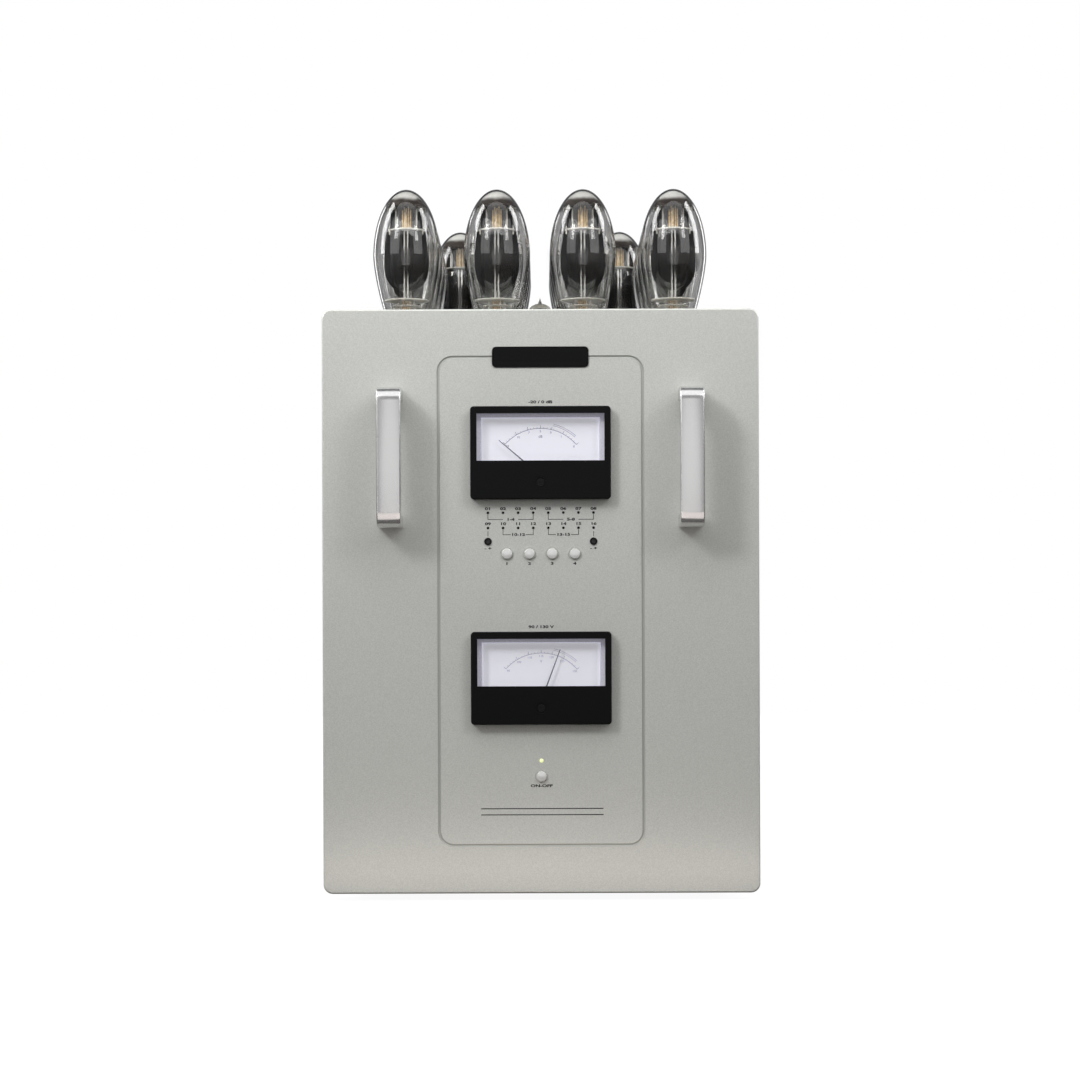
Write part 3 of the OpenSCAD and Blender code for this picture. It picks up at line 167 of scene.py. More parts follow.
class AMP_PG_stage(PropertyGroup):
    """The camera and the strength of the lights."""

    camera_distance: length("Camera distance", "Distance from the panel's face to the camera", 2200.0)
    camera_height: length("Camera height", "Height of the camera above the floor", 236.1)
    focal_mm: FloatProperty(name="Focal length", description="Focal length in millimetres", default=87.12)
    side_power: watts("Side power", "Power of each lamp at the side", 13.0)
    corner_power: watts("Corner power", "Power of each card mirrored from a front corner", 8.0)
    left_power: watts("Left power", "Power of the lamp at the left front corner", 25.0)
    right_power: watts("Right power", "Power of the lamp at the right front corner", 10.0)
    rim_power: watts("Rim power", "Power of each strip lamp behind the object", 1.8)
    top_power: watts("Top power", "Power of the soft lamp above the front", 3.4)
    edge_power: watts("Edge power", "Power of the strip lamp close above the panel's top edge", 0.9)
    deck_power: watts("Deck power", "Power of the lamp above the tubes", 8.0)
    rear_power: watts("Rear power", "Power of the lamp behind the object", 16.0)
    floor_power: watts("Floor power", "Power of the strip that stands for light off the near floor", 0.065)
    card_power: watts("Card power", "Power of the card below each handle", 0.24)
    strip_power: watts("Strip power", "Power of the strip mirrored along the handles' left edges", 1.7)


# Mesh tools

class Shape:
    """Gathers grids of points and flat outlines into one mesh."""

    def __init__(self):
        self.points = []
        self.faces = []
        self.count = 0

    def polygons(self, points, faces):
        """Adds points and the faces that join them, counted from the first of these points."""
        self.points.append(np.asarray(points, float).reshape(-1, 3))
        self.faces += [[corner + self.count for corner in face] for face in faces]
        self.count += len(self.points[-1])

    def grid(self, points, close_rows=False, close_columns=False):
        """Adds a grid of points: each four neighbours make a face, and a closed way joins its ends."""
        rows, columns = points.shape[:2]
        r, c = np.meshgrid(
            np.arange(rows if close_rows else rows - 1),
            np.arange(columns if close_columns else columns - 1), indexing="ij"
        )
        next_r = (r + 1) % rows
        next_c = (c + 1) % columns
        row = r * columns
        next_row = next_r * columns
        quads = np.stack((row + c, next_row + c, next_row + next_c, row + next_c), axis=-1)
        self.polygons(points, quads.reshape(-1, 4).tolist())

    def turned(self, profile, centre, way=UP, segments=32):
        """Turns a profile of radius and height round an axis: a point at turn a lies
        centre + radius * (side * cos a + other side * sin a) + height * axis."""
        turn = np.linspace(0.0, 2.0 * np.pi, segments, endpoint=False)
        radius, height = np.asarray(profile, float).T
        ring = np.cos(turn)[:, None] * way[0] + np.sin(turn)[:, None] * way[1]
        points = centre + radius[:, None, None] * ring + height[:, None, None] * way[2]
        self.grid(points, close_columns=True)

    def prism(self, outline, low, high, centre):
        """Carries a flat outline straight up from low to high, with a face over each end."""
        flat = np.asarray(outline, float)
        rows = np.stack([np.column_stack((flat, np.full(len(flat), z))) for z in (low, high)]) + centre
        self.grid(rows, close_columns=True)
        for row in rows:
            self.polygons(row, [list(range(len(row)))])

    def loft(self, outline, heights, scales, centre):
        """Carries a flat outline up through heights, its x and y multiplied by a pair of scales at each."""
        flat = np.asarray(outline, float)[None, :, :] * np.asarray(scales, float)[:, None, :]
        up = np.broadcast_to(np.asarray(heights, float)[:, None, None], flat.shape[:2] + (1,))
        rows = np.concatenate((flat, up), axis=-1) + centre
        self.grid(rows, close_columns=True)
        for row in (rows[0], rows[-1]):
            self.polygons(row, [list(range(len(row)))])

    def mesh(self, name, outward=True):
        """Makes the mesh, merges doubled points and turns a closed shape's faces outwards."""
        mesh = bpy.data.meshes.new(name)
        mesh.from_pydata(np.concatenate(self.points).tolist(), [], self.faces)
        shell = bmesh.new()
        shell.from_mesh(mesh)
        bmesh.ops.remove_doubles(shell, verts=shell.verts, dist=MERGE)
        if outward:
            bmesh.ops.recalc_face_normals(shell, faces=shell.faces)
        shell.to_mesh(mesh)
        shell.free()
        mesh.polygons.foreach_set("use_smooth", np.ones(len(mesh.polygons), dtype=bool))
        mesh.set_sharp_from_angle(angle=math.radians(SHARP_DEG))
        return mesh


def place(name, mesh, material, body="case", replaced=()):
    """Puts a mesh in the scene as a piece with one finish, riding on a body."""
    mesh.materials.append(material)
    piece = bpy.data.objects.new(name, mesh)
    bpy.context.scene.collection.objects.link(piece)
    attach(piece, body)
    if replaced:
        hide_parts(*replaced)
    return piece


def round_loop(half_a, half_b, radius, steps):
    """Points round a rectangle with round corners, each corner a quarter turn."""
    turn = np.linspace(0.0, np.pi / 2, steps)
    quarter = np.stack(
        (half_a - radius + radius * np.cos(turn), half_b - radius + radius * np.sin(turn)), axis=-1
    )
    mirrored = quarter[::-1] * (-1.0, 1.0)
    return np.concatenate((quarter, mirrored, -quarter, -mirrored))


# Materials

def add(tree, kind, inputs=None, **settings):
    """Adds a node, gives it its settings, and fills its inputs from values or from other nodes' outputs."""
    node = tree.nodes.new(kind)
    for name, value in settings.items():
        setattr(node, name, value)
    for name, value in (inputs or {}).items():
        if isinstance(value, bpy.types.NodeSocket):
            tree.links.new(value, node.inputs[name])
        else:
            node.inputs[name].default_value = value
    return node


def blank(name):
    """An empty material and its node tree."""
    material = bpy.data.materials.new(name)
    material.use_nodes = True
    material.node_tree.nodes.clear()
    return material, material.node_tree


def shade(light, amount):
    """A linear colour made darker or lighter by an amount, with full alpha."""
    return tuple(min(1.0, channel * amount) for channel in light[:3]) + (1.0,)


def grained(name, dark, light, grain_mm, roughness, relief_mm, stretch=(1.0, 1.0, 1.0), **sockets):
    """A finish whose colour, roughness and relief follow one noise with grains of a given size.
    stretch lengthens the grains along an axis, as brushing does, and sockets go to the shader."""
    octaves = 3.0
    darkest = 0.3
    lightest = 0.7
    relief_strength = 0.6
    material, tree = blank(name)
    where = add(tree, "ShaderNodeTexCoord").outputs["Object"]
    spread = add(tree, "ShaderNodeMapping", {"Vector": where, "Scale": [1.0 / s for s in stretch]})
    grain = add(
        tree, "ShaderNodeTexNoise",
        {"Vector": spread.outputs["Vector"], "Scale": 1.0 / (grain_mm * MM), "Detail": octaves}
    )
    share = add(
        tree, "ShaderNodeMapRange",
        {"Value": grain.outputs["Fac"], "From Min": darkest, "From Max": lightest}
    ).outputs["Result"]
    tint = add(tree, "ShaderNodeMix", {0: share, 6: dark, 7: light}, data_type="RGBA")
    polish = add(
        tree, "ShaderNodeMapRange", {"Value": share, "To Min": roughness[0], "To Max": roughness[1]}
    )
    relief = add(
        tree, "ShaderNodeBump", {"Height": share, "Distance": relief_mm * MM, "Strength": relief_strength}
    )
    inputs = {
        "Base Color": tint.outputs[2], "Roughness": polish.outputs["Result"],
        "Normal": relief.outputs["Normal"],
    }
    for socket, value in sockets.items():
        inputs[socket.replace("_", " ")] = value
    shader = add(tree, "ShaderNodeBsdfPrincipled", inputs)
    add(tree, "ShaderNodeOutputMaterial", {"Surface": shader.outputs["BSDF"]})
    return material


def panel_aluminium(finish):
    """Anodised aluminium, bead-blasted: an even silver with a fine sparkle.
    The real pits are near 0.1 mm; they are drawn at 0.8 mm so that the sparkle shows."""
    base = tuple(finish.panel)
    return grained(
        "bead_blasted_aluminium", shade(base, 0.88), shade(base, 1.06), grain_mm=0.8, roughness=(0.48, 0.58),
        relief_mm=0.02, Metallic=0.35
    )


def handle_aluminium(finish):
    """Anodised aluminium bar, satin: smoother and lighter than the panel, with a faint lengthwise grain."""
    base = tuple(finish.handle)
    return grained(
        "satin_aluminium_bar", shade(base, 0.97), base, grain_mm=0.6, roughness=(0.18, 0.22),
        relief_mm=0.002, stretch=(1.0, 1.0, 6.0), Metallic=0.9
    )


def deck_aluminium(finish):
    """Anodised aluminium sheet: a rolled grain runs along it."""
    base = tuple(finish.panel)
    return grained(
        "anodised_aluminium_sheet", shade(base, 0.82), shade(base, 0.95), grain_mm=0.7,
        roughness=(0.4, 0.52), relief_mm=0.01, stretch=(1.0, 15.0, 1.0), Metallic=0.45
    )


def post_aluminium(finish):
    """Milled aluminium bar: fine cutter lines across it."""
    return grained(
        "milled_aluminium_bar", linear("#9C9C9C"), linear("#B6B6B6"), grain_mm=0.5, roughness=(0.3, 0.45),
        relief_mm=0.02, stretch=(10.0, 10.0, 1.0), Metallic=1.0
    )


def black_sheet_metal(finish):
    """Powder-coated steel sheet: a satin black with the fine orange peel that the melted powder leaves."""
    base = tuple(finish.case)
    return grained(
        "powder_coated_steel", shade(base, 0.8), shade(base, 1.25), grain_mm=0.9, roughness=(0.42, 0.58),
        relief_mm=0.05
    )


def screw_black(finish):
    """Steel screws, black oxide: dark, with a dull metal shine."""
    return grained(
        "black_oxide_steel", linear("#1B1B1C"), linear("#2E2E30"), grain_mm=0.4, roughness=(0.3, 0.45),
        relief_mm=0.01, Metallic=0.7
    )


def foot_rubber(finish):
    """Moulded rubber: matt, slightly mottled."""
    return grained(
        "moulded_rubber", linear("#17171A"), linear("#242427"), grain_mm=0.7, roughness=(0.7, 0.85),
        relief_mm=0.03
    )


def black_gloss_plastic(finish):
    """Moulded ABS, satin gloss: black with soft highlights along its edges."""
    base = tuple(finish.bezel)
    return grained(
        "moulded_abs_black", shade(base, 0.75), shade(base, 1.2), grain_mm=0.5, roughness=(0.28, 0.38),
        relief_mm=0.008, Specular_IOR_Level=0.15
    )


def black_plastic(finish):
    """Moulded nylon, spark-eroded mould: matt black with a fine even texture."""
    return grained(
        "moulded_nylon_black", linear("#0B0B0C"), linear("#151516"), grain_mm=0.5, roughness=(0.4, 0.55),
        relief_mm=0.02, Specular_IOR_Level=0.3
    )


def white_plastic(finish):
    """Moulded white polycarbonate: smooth, with a painted faint violet glow: the glow stands in for the meter
    lamp's light, and the violet for the tint of the shade along the window's edges.
    """
    # The emission is a painted glow, not a lamp.
    return grained(
        "moulded_white_plastic", linear("#E3E3E6"), linear("#F2F2F3"), grain_mm=1.5, roughness=(0.35, 0.45),
        relief_mm=0.004, Emission_Color=linear("#CFCCE2"), Emission_Strength=0.16
    )


def clear_pane(finish):
    """Clear acrylic sheet: seen through, with reflections that grow towards its edges. Only the side that
    light enters by reflects, because a thin pane doesn't trap the light inside."""
    acrylic_ior = 1.49
    polish = 0.03
    material, tree = blank("clear_acrylic")
    back = add(tree, "ShaderNodeNewGeometry").outputs["Backfacing"]
    front = add(tree, "ShaderNodeMath", {0: 1.0, 1: back}, operation="SUBTRACT")
    edge = add(tree, "ShaderNodeFresnel", {"IOR": acrylic_ior})
    share = add(tree, "ShaderNodeMath", {0: edge.outputs[0], 1: front.outputs[0]}, operation="MULTIPLY")
    through = add(tree, "ShaderNodeBsdfTransparent", {"Color": linear("#FCFCFE")})
    gloss = add(tree, "ShaderNodeBsdfGlossy", {"Color": linear("#FFFFFF"), "Roughness": polish})
    mixed = add(
        tree, "ShaderNodeMixShader", {0: share.outputs[0], 1: through.outputs[0], 2: gloss.outputs[0]}
    )
    add(tree, "ShaderNodeOutputMaterial", {"Surface": mixed.outputs[0]})
    return material


def dial_paint(finish):
    """Matt white acrylic dial, lit from behind: even, with the faintest mottle and a soft glow."""
    base = tuple(finish.dial)
    return grained(
        "lit_matt_dial", shade(base, 0.96), base, grain_mm=1.2, roughness=(0.5, 0.6), relief_mm=0.004,
        Emission_Color=linear("#F4F4F6"), Emission_Strength=0.27
    )


def needle_black(finish):
    """Lacquered aluminium needle: a dark grey against the lit dial."""
    return grained(
        "black_lacquer", linear("#56565A"), linear("#66666A"), grain_mm=0.5, roughness=(0.35, 0.45),
        relief_mm=0.004
    )


def button_metal(finish):
    """Turned and polished steel: bright, with faint turning lines."""
    return grained(
        "polished_steel", linear("#F4F4F2"), linear("#FDFDFB"), grain_mm=0.4, roughness=(0.2, 0.26),
        relief_mm=0.003, Metallic=0.4
    )


def lamp_dark(finish):
    """Smoked epoxy lamp lens, unlit: nearly black and glossy."""
    return grained(
        "smoked_epoxy", linear("#0E0E10"), linear("#1A1614"), grain_mm=0.5, roughness=(0.1, 0.18),
        relief_mm=0.002
    )


def power_lamp_lens(finish):
    """Tinted epoxy lamp lens, lit: a pale yellow green that glows."""
    return grained(
        "lit_epoxy_lens", linear("#DDE6A8"), linear("#EEF2C8"), grain_mm=0.5, roughness=(0.15, 0.25),
        relief_mm=0.002, Emission_Color=linear("#E4EDA6"), Emission_Strength=0.7
    )


def trimmer_steel(finish):
    """Plated steel screw deep in its bushing: a dull grey, darkened to a dark grey by painted shade of the
    bushing.
    """
    # The dark greys are the steel darkened by painted shade of the bushing.
    return grained(
        "plated_steel", linear("#4A4A49"), linear("#62625F"), grain_mm=0.3, roughness=(0.3, 0.42),
        relief_mm=0.006, Metallic=1.0
    )


def board_green(finish):
    """Epoxy glass board with green solder mask: copper lands show through as a lighter mottle."""
    return grained(
        "solder_mask", linear("#123A20"), linear("#1E5A30"), grain_mm=2.5, roughness=(0.3, 0.45),
        relief_mm=0.03
    )


def gold_plate(finish):
    """Gold-plated brass: warm, bright metal."""
    return grained(
        "gold_plated_brass", linear("#C9A254"), linear("#DDBB70"), grain_mm=0.6, roughness=(0.18, 0.28),
        relief_mm=0.004, Metallic=1.0
    )


def guard_wire(finish):
    """Chromed steel wire of the fan guards: bright and smooth."""
    return grained(
        "chromed_wire", linear("#B9BABC"), linear("#D6D7D9"), grain_mm=0.6, roughness=(0.15, 0.25),
        relief_mm=0.004, Metallic=1.0
    )


def transformer_iron(finish):
    """Stacked lacquered iron sheets: thin dark lines between the laminations, stacked front to back."""
    return grained(
        "lacquered_laminations", linear("#1D1C1B"), linear("#3A3734"), grain_mm=0.5, roughness=(0.4, 0.6),
        relief_mm=0.06, stretch=(30.0, 1.0, 30.0), Metallic=0.4
    )


def capacitor_sleeve(finish):
    """Shrunk PVC sleeve: smooth dark blue-black with a soft gloss."""
    return grained(
        "shrunk_pvc_sleeve", linear("#10131C"), linear("#1A1F2C"), grain_mm=1.5, roughness=(0.25, 0.35),
        relief_mm=0.01
    )


def bakelite(finish):
    """Moulded phenolic: black-brown with a low gloss."""
    return grained(
        "moulded_phenolic", linear("#15110F"), linear("#241D19"), grain_mm=0.8, roughness=(0.25, 0.38),
        relief_mm=0.008
    )


def pin_steel(finish):
    """Tinned brass pins: a soft silver."""
    return grained(
        "tinned_brass", linear("#A9A6A0"), linear("#C4C1BB"), grain_mm=0.4, roughness=(0.25, 0.38),
        relief_mm=0.004, Metallic=1.0
    )


def tube_glass(finish):
    """Blown soda-lime glass: clear across its wall and smoky along it, with the lamps' light let through to
    what stands inside. Blowing leaves faint ripples about 18 mm apart."""
    ripple_mm = 18.0
    ripple_height_mm = 0.05
    ripple_strength = 0.3
    glass_ior = 1.5
    smoke_density = 45.0
    material, tree = blank("blown_glass")
    where = add(tree, "ShaderNodeTexCoord").outputs["Object"]
    ripple = add(
        tree, "ShaderNodeTexNoise", {"Vector": where, "Scale": 1.0 / (ripple_mm * MM), "Detail": 1.0}
    )
    relief = add(
        tree, "ShaderNodeBump",
        {"Height": ripple.outputs["Fac"], "Distance": ripple_height_mm * MM, "Strength": ripple_strength}
    )
    glass = add(
        tree, "ShaderNodeBsdfPrincipled",
        {"Base Color": linear("#F8F8F7"), "Roughness": 0.0, "IOR": glass_ior, "Transmission Weight": 1.0,
         "Normal": relief.outputs["Normal"]}
    )
    lamp_through = add(tree, "ShaderNodeBsdfTransparent", {"Color": linear("#F4F5F4")})
    path = add(tree, "ShaderNodeLightPath")
    mixed = add(
        tree, "ShaderNodeMixShader",
        {0: path.outputs["Is Shadow Ray"], 1: glass.outputs["BSDF"], 2: lamp_through.outputs["BSDF"]}
    )
    smoke = add(tree, "ShaderNodeVolumeAbsorption", {"Color": linear("#58524C"), "Density": smoke_density})
    add(
        tree, "ShaderNodeOutputMaterial",
        {"Surface": mixed.outputs["Shader"], "Volume": smoke.outputs["Volume"]}
    )
    return material


def electrode_metal(finish):
    """Blackened nickel sheet: dark, with a dull sheen and soot-like mottle."""
    base = tuple(finish.anode)
    return grained(
        "blackened_nickel", shade(base, 0.7), shade(base, 1.3), grain_mm=3.0, roughness=(0.5, 0.65),
        relief_mm=0.02, Metallic=0.3
    )


def bright_nickel(finish):
    """Drawn nickel wire: bright, with lines along it."""
    return grained(
        "drawn_nickel", linear("#E4E2DE"), linear("#F6F4F0"), grain_mm=0.5, roughness=(0.2, 0.32),
        relief_mm=0.003, stretch=(1.0, 1.0, 20.0), Metallic=0.75
    )


def gold_fin(finish):
    """Gold-plated copper fins of the grids: warm, with painted highlights for glints and painted shade for dark
    places.
    """
    base = tuple(finish.grid)
    # The colour spread from 0.35 to 1.5 of the gold paints glints and shade into the fins.
    return grained(
        "gold_plated_copper", shade(base, 0.35), shade(base, 1.5), grain_mm=1.4, roughness=(0.25, 0.4),
        relief_mm=0.01, Metallic=0.4
    )


def mica(finish):
    """Split mica sheet: pale, silky and slightly see-through."""
    return grained(
        "split_mica", linear("#CFCBC2"), linear("#E6E2DA"), grain_mm=2.0, roughness=(0.3, 0.45),
        relief_mm=0.01, Transmission_Weight=0.25, IOR=1.58
    )


def film_shader(tree, tint, cover, metallic, roughness):
    """Ends a material whose thin film covers only part of what lies behind it."""
    film = add(
        tree, "ShaderNodeBsdfPrincipled",
        {"Base Color": tint.outputs[2], "Metallic": metallic, "Roughness": roughness,
         "Alpha": cover.outputs["Result"]}
    )
    add(tree, "ShaderNodeOutputMaterial", {"Surface": film.outputs["BSDF"]})


def getter_silver(finish, top, depth):
    """Flashed barium on the inside of the glass: a mirror at the top, pale by a painted reflection of the light
    overhead, that turns dark and fades out in a brownish edge. The edge wanders by up to 4 mm, in clouds of 9 mm."""
    cloud_mm = 9.0
    wander = 4.0 * MM
    edge_start = top - depth + 2.0 * MM
    edge_end = top - 0.62 * depth
    most_cover = 0.93
    pale_start = top - 10.5 * MM
    pale_end = top - 6.0 * MM
    material, tree = blank("flashed_barium")
    where = add(tree, "ShaderNodeTexCoord").outputs["Object"]
    axes = add(tree, "ShaderNodeSeparateXYZ", {"Vector": where})
    cloud = add(tree, "ShaderNodeTexNoise", {"Vector": where, "Scale": 1.0 / (cloud_mm * MM), "Detail": 2.0})
    height = add(
        tree, "ShaderNodeMath", {0: cloud.outputs["Fac"], 1: wander, 2: axes.outputs["Z"]},
        operation="MULTIPLY_ADD"
    ).outputs[0]
    cover = add(
        tree, "ShaderNodeMapRange",
        {"Value": height, "From Min": edge_start, "From Max": edge_end, "To Max": most_cover},
        interpolation_type="SMOOTHSTEP"
    )
    # From 10.5 mm below the top upwards the colour turns pale: a painted reflection of the light overhead.
    thick = add(
        tree, "ShaderNodeMapRange", {"Value": height, "From Min": pale_start, "From Max": pale_end},
        interpolation_type="SMOOTHSTEP"
    )
    tint = add(
        tree, "ShaderNodeMix", {0: thick.outputs["Result"], 6: linear("#2E2824"), 7: linear("#C4C3C0")},
        data_type="RGBA"
    )
    film_shader(tree, tint, cover, metallic=0.15, roughness=0.3)
    return material


def side_flash(finish):
    """Flashed barium on the bulb's side: a dark round cloud, thickest in its middle, in clouds of 7 mm."""
    cloud_mm = 7.0
    unevenness = 0.25
    thin = 0.12
    thick = 0.62
    most_cover = 0.66
    material, tree = blank("side_flashed_barium")
    where = add(tree, "ShaderNodeTexCoord").outputs["Object"]
    share = add(tree, "ShaderNodeAttribute", attribute_name="cover").outputs["Fac"]
    cloud = add(tree, "ShaderNodeTexNoise", {"Vector": where, "Scale": 1.0 / (cloud_mm * MM), "Detail": 2.0})
    uneven = add(
        tree, "ShaderNodeMath", {0: cloud.outputs["Fac"], 1: unevenness, 2: share}, operation="MULTIPLY_ADD"
    )
    cover = add(
        tree, "ShaderNodeMapRange",
        {"Value": uneven.outputs[0], "From Min": thin, "From Max": thick, "To Max": most_cover},
        interpolation_type="SMOOTHSTEP"
    )
    tint = add(
        tree, "ShaderNodeMix", {0: cloud.outputs["Fac"], 6: linear("#060505"), 7: linear("#1C1815")},
        data_type="RGBA"
    )
    film_shader(tree, tint, cover, metallic=0.2, roughness=0.35)
    return material


def groove_shade_coat(finish):
    """Aluminium in the engraved groove: duller than the blasted face round it, and darker by painted shade, the
    shade that falls into the groove.
    """
    base = tuple(finish.panel)
    # The colour, 0.7 to 0.8 of the panel's, is painted shade in the groove.
    return grained(
        "engraved_aluminium", shade(base, 0.7), shade(base, 0.8), grain_mm=0.6, roughness=(0.5, 0.62),
        relief_mm=0.01, Metallic=0.4
    )


def print_ink(name, code):
    """Screen-printed ink: matt, with slightly uneven cover."""
    base = linear(code)
    return grained(
        name, shade(base, 0.85), shade(base, 1.15), grain_mm=0.4, roughness=(0.45, 0.6), relief_mm=0.002
    )


SLOT_FINISHES = {
    maker.__name__: maker for maker in (
        panel_aluminium, handle_aluminium, deck_aluminium, post_aluminium, black_sheet_metal, screw_black,
        foot_rubber, black_gloss_plastic, black_plastic, white_plastic, clear_pane, dial_paint, needle_black,
        button_metal, lamp_dark, power_lamp_lens, trimmer_steel, board_green, gold_plate, guard_wire,
        transformer_iron, capacitor_sleeve, bakelite, pin_steel, tube_glass, electrode_metal
    )
}


class AMP_OT_case(Operator):
    """Give every construction node the finish of its slot"""

    bl_idname = "amp.case"
    bl_label = "Finish the case"

    def execute(self, context):
        finish = context.scene.amp_finish
        made = {}
        for row in frame["record"]["subparts"]:
            slot = row["material_slot"]
            if slot not in made:
                made[slot] = SLOT_FINISHES[slot](finish)
            node = frame["nodes"][row["node"]]
            node.data.materials.clear()
            node.data.materials.append(made[slot])
        return {"FINISHED"}


# Handles

def u_path(half, reach, radius, steps):
    """Height and reach along a U: out along one leg, a quarter turn, down the bar, a quarter turn, back."""
    turn = np.linspace(0.0, np.pi / 2, steps)
    height = half - radius + radius * np.cos(turn)
    out = reach - radius + radius * np.sin(turn)
    return np.stack((
        np.concatenate(((half,), height, -height[::-1], (-half,))),
        np.concatenate(((0.0,), out, out[::-1], (0.0,))),
    ), axis=-1)


def handle_grid(low, high, front, sizes):
    """A rectangle with round edges carried along a U. Each ring lies between the U's inner and outer line:
    a point is the middle of the two plus its share of half their distance."""
    corner_steps = 9
    edge_steps = 4
    middle = (low + high) / 2
    half = (high[2] - low[2]) / 2
    reach = front - low[1]
    width = high[0] - low[0]
    bar = sizes.handle_bar
    outer = u_path(half, reach, sizes.handle_outer_radius, corner_steps)
    inner = u_path(half - bar, reach - bar, sizes.handle_inner_radius, corner_steps)
    loop = round_loop(bar / 2, width / 2, sizes.handle_edge, edge_steps)
    share = loop[:, 0] / (bar / 2)
    centre = (outer + inner) / 2
    lean = (outer - inner) / 2
    path = centre[:, None, :] + share[None, :, None] * lean[:, None, :]
    across = np.broadcast_to(loop[:, 1], path.shape[:2])
    points = np.stack(
        (middle[0] + across, front - path[..., 1], middle[2] + path[..., 0]), axis=-1
    )
    start = np.broadcast_to(points[0].mean(axis=0), points[0].shape)
    end = np.broadcast_to(points[-1].mean(axis=0), points[-1].shape)
    return np.concatenate((start[None], points, end[None]))


class AMP_OT_handles(Operator):
    """Make the two handles as rounded bars bent into a U, with the lamps that light only them"""

    bl_idname = "amp.handles"
    bl_label = "Handles"

    def execute(self, context):
        stage = context.scene.amp_stage
        metal = handle_aluminium(context.scene.amp_finish)
        card_reach = 0.29
        card_height = 0.165
        card_size = (0.3, 0.27)
        strip_spot = (-1.3, -1.6, 0.45)
        strip_size = (0.5, 0.9)
        lit = bpy.data.collections.new("handle_bars")
        lamps = []
        for node in ("handle_left", "handle_right"):
            low, high = corners(node)
            name = node + "_bar"
            shape = Shape()
            shape.grid(handle_grid(low, high, PANEL_FRONT, context.scene.amp_front), close_columns=True)
            lit.objects.link(place(name, shape.mesh(name), metal, replaced=(node,)))
            spot = ((low[0] + high[0]) / 2, PANEL_FRONT - card_reach, card_height)
            lamps.append(make_lamp(node + "_card", spot, card_size, stage.card_power, code="#EFE6E2"))
        lamps.append(make_lamp("handle_strip", strip_spot, strip_size, stage.strip_power))
        for lamp in lamps:
            lamp.light_linking.receiver_collection = lit
        return {"FINISHED"}


# Frame line

def groove_row(sizes, spread, depth, middle, badge):
    """One line along the groove: a rectangle with round corners, moved outwards by spread and into the
    panel by depth, from the badge's left side round to its right side."""
    corner_steps = 9
    half_w = sizes.frame_width / 2 + spread
    half_h = sizes.frame_height / 2 + spread
    loop = round_loop(half_w, half_h, sizes.frame_radius + spread, corner_steps)
    ends = np.array(((badge[0], half_h), (badge[1], half_h)))
    flat = np.concatenate((ends[:1], loop[corner_steps:], loop[:corner_steps], ends[1:]))
    level = np.full(len(flat), PANEL_FRONT + depth)
    return np.stack((flat[:, 0] + middle[0], level, flat[:, 1] + middle[2]), axis=-1)


class AMP_OT_frame_line(Operator):
    """Line the engraved frame groove with a coat darkened by painted shade"""

    bl_idname = "amp.frame_line"
    bl_label = "Frame line"

    def execute(self, context):
        sizes = context.scene.amp_front
        middle = (PANEL_LOW + PANEL_HIGH) / 2
        badge = [corner[0] for corner in corners("badge_plate")]
        coat = 0.04 * MM
        half = sizes.groove_width / 2
        depth = sizes.groove_depth
        # The lining's section: down and up the groove's V, then back a coat higher
        section = (
            (half, 0.0), (0.0, depth), (-half, 0.0), (-half, -coat), (0.0, depth - 2.0 * coat), (half, -coat)
        )
        strip = np.stack([groove_row(sizes, out, into, middle, badge) for out, into in section], axis=1)
        start = np.broadcast_to(strip[0].mean(axis=0), strip[0].shape)
        end = np.broadcast_to(strip[-1].mean(axis=0), strip[-1].shape)
        shape = Shape()
        shape.grid(np.concatenate((start[None], strip, end[None])), close_columns=True)
        name = "frame_groove_line"
        # The lining's darker colour is painted shade in the groove.
        place(name, shape.mesh(name), groove_shade_coat(context.scene.amp_finish))
        return {"FINISHED"}


# Buttons

FUNCTION_BUTTONS = ("fan_button", "light_button", "bias_button", "meter_button")
BUTTONS = FUNCTION_BUTTONS + ("power_button",)


def button_profile(radius, front, back):
    """Radius and height along a button: a stem, a lip behind the panel, a straight barrel, a rounded edge
    and a crown that rises as one minus the square of the radius."""
    steps = 6
    edge = 0.7 * MM
    crown = 0.35 * MM
    lip = radius + 1.8 * MM
    lip_back = -13.8 * MM
    lip_front = -12.4 * MM
    stem = 2.0 * MM
    turn = np.linspace(0.0, np.pi / 2, steps)
    flat = np.linspace(1.0, 0.0, steps)[1:]
    rim = radius - edge
    body = [
        (0.0, back), (stem, back), (stem, lip_back), (lip, lip_back), (lip, lip_front), (radius, lip_front)
    ]
    rounded = np.stack((rim + edge * np.cos(turn), front - crown - edge + edge * np.sin(turn)), axis=-1)
    top = np.stack((rim * flat, front - crown * flat ** 2), axis=-1)
    return np.concatenate((body, rounded, top))


class AMP_OT_controls(Operator):
    """Make the push buttons as turned pieces"""

    bl_idname = "amp.controls"
    bl_label = "Buttons"

    def execute(self, context):
        steel = button_metal(context.scene.amp_finish)
        radius = 4.4 * MM
        segments = 40
        for node in BUTTONS:
            low, high = corners(node)
            centre = (low + high) / 2
            centre[1] = PANEL_FRONT
            name = node + "_cap"
            shape = Shape()
            profile = button_profile(radius, PANEL_FRONT - low[1], PANEL_FRONT - high[1])
            shape.turned(profile, centre, FRONT, segments)
            place(name, shape.mesh(name), steel, node, (node,))
        return {"FINISHED"}


# Tubes

# Levels inside a power tube, counted up from the bulb's top
TOP_MICA = -17.5 * MM
ANODE_MICA = -36.6 * MM
ANODE_TOP = -37.5 * MM
ANODE_LOW = -90.0 * MM
LOW_MICA = -99.5 * MM
SHIELD_MICA = -104.5 * MM
FOOT = -131.0 * MM

# A film on the inside of the glass: its distance from the wall and its thickness
FILM_GAP = 0.15 * MM
FILM = 0.1 * MM

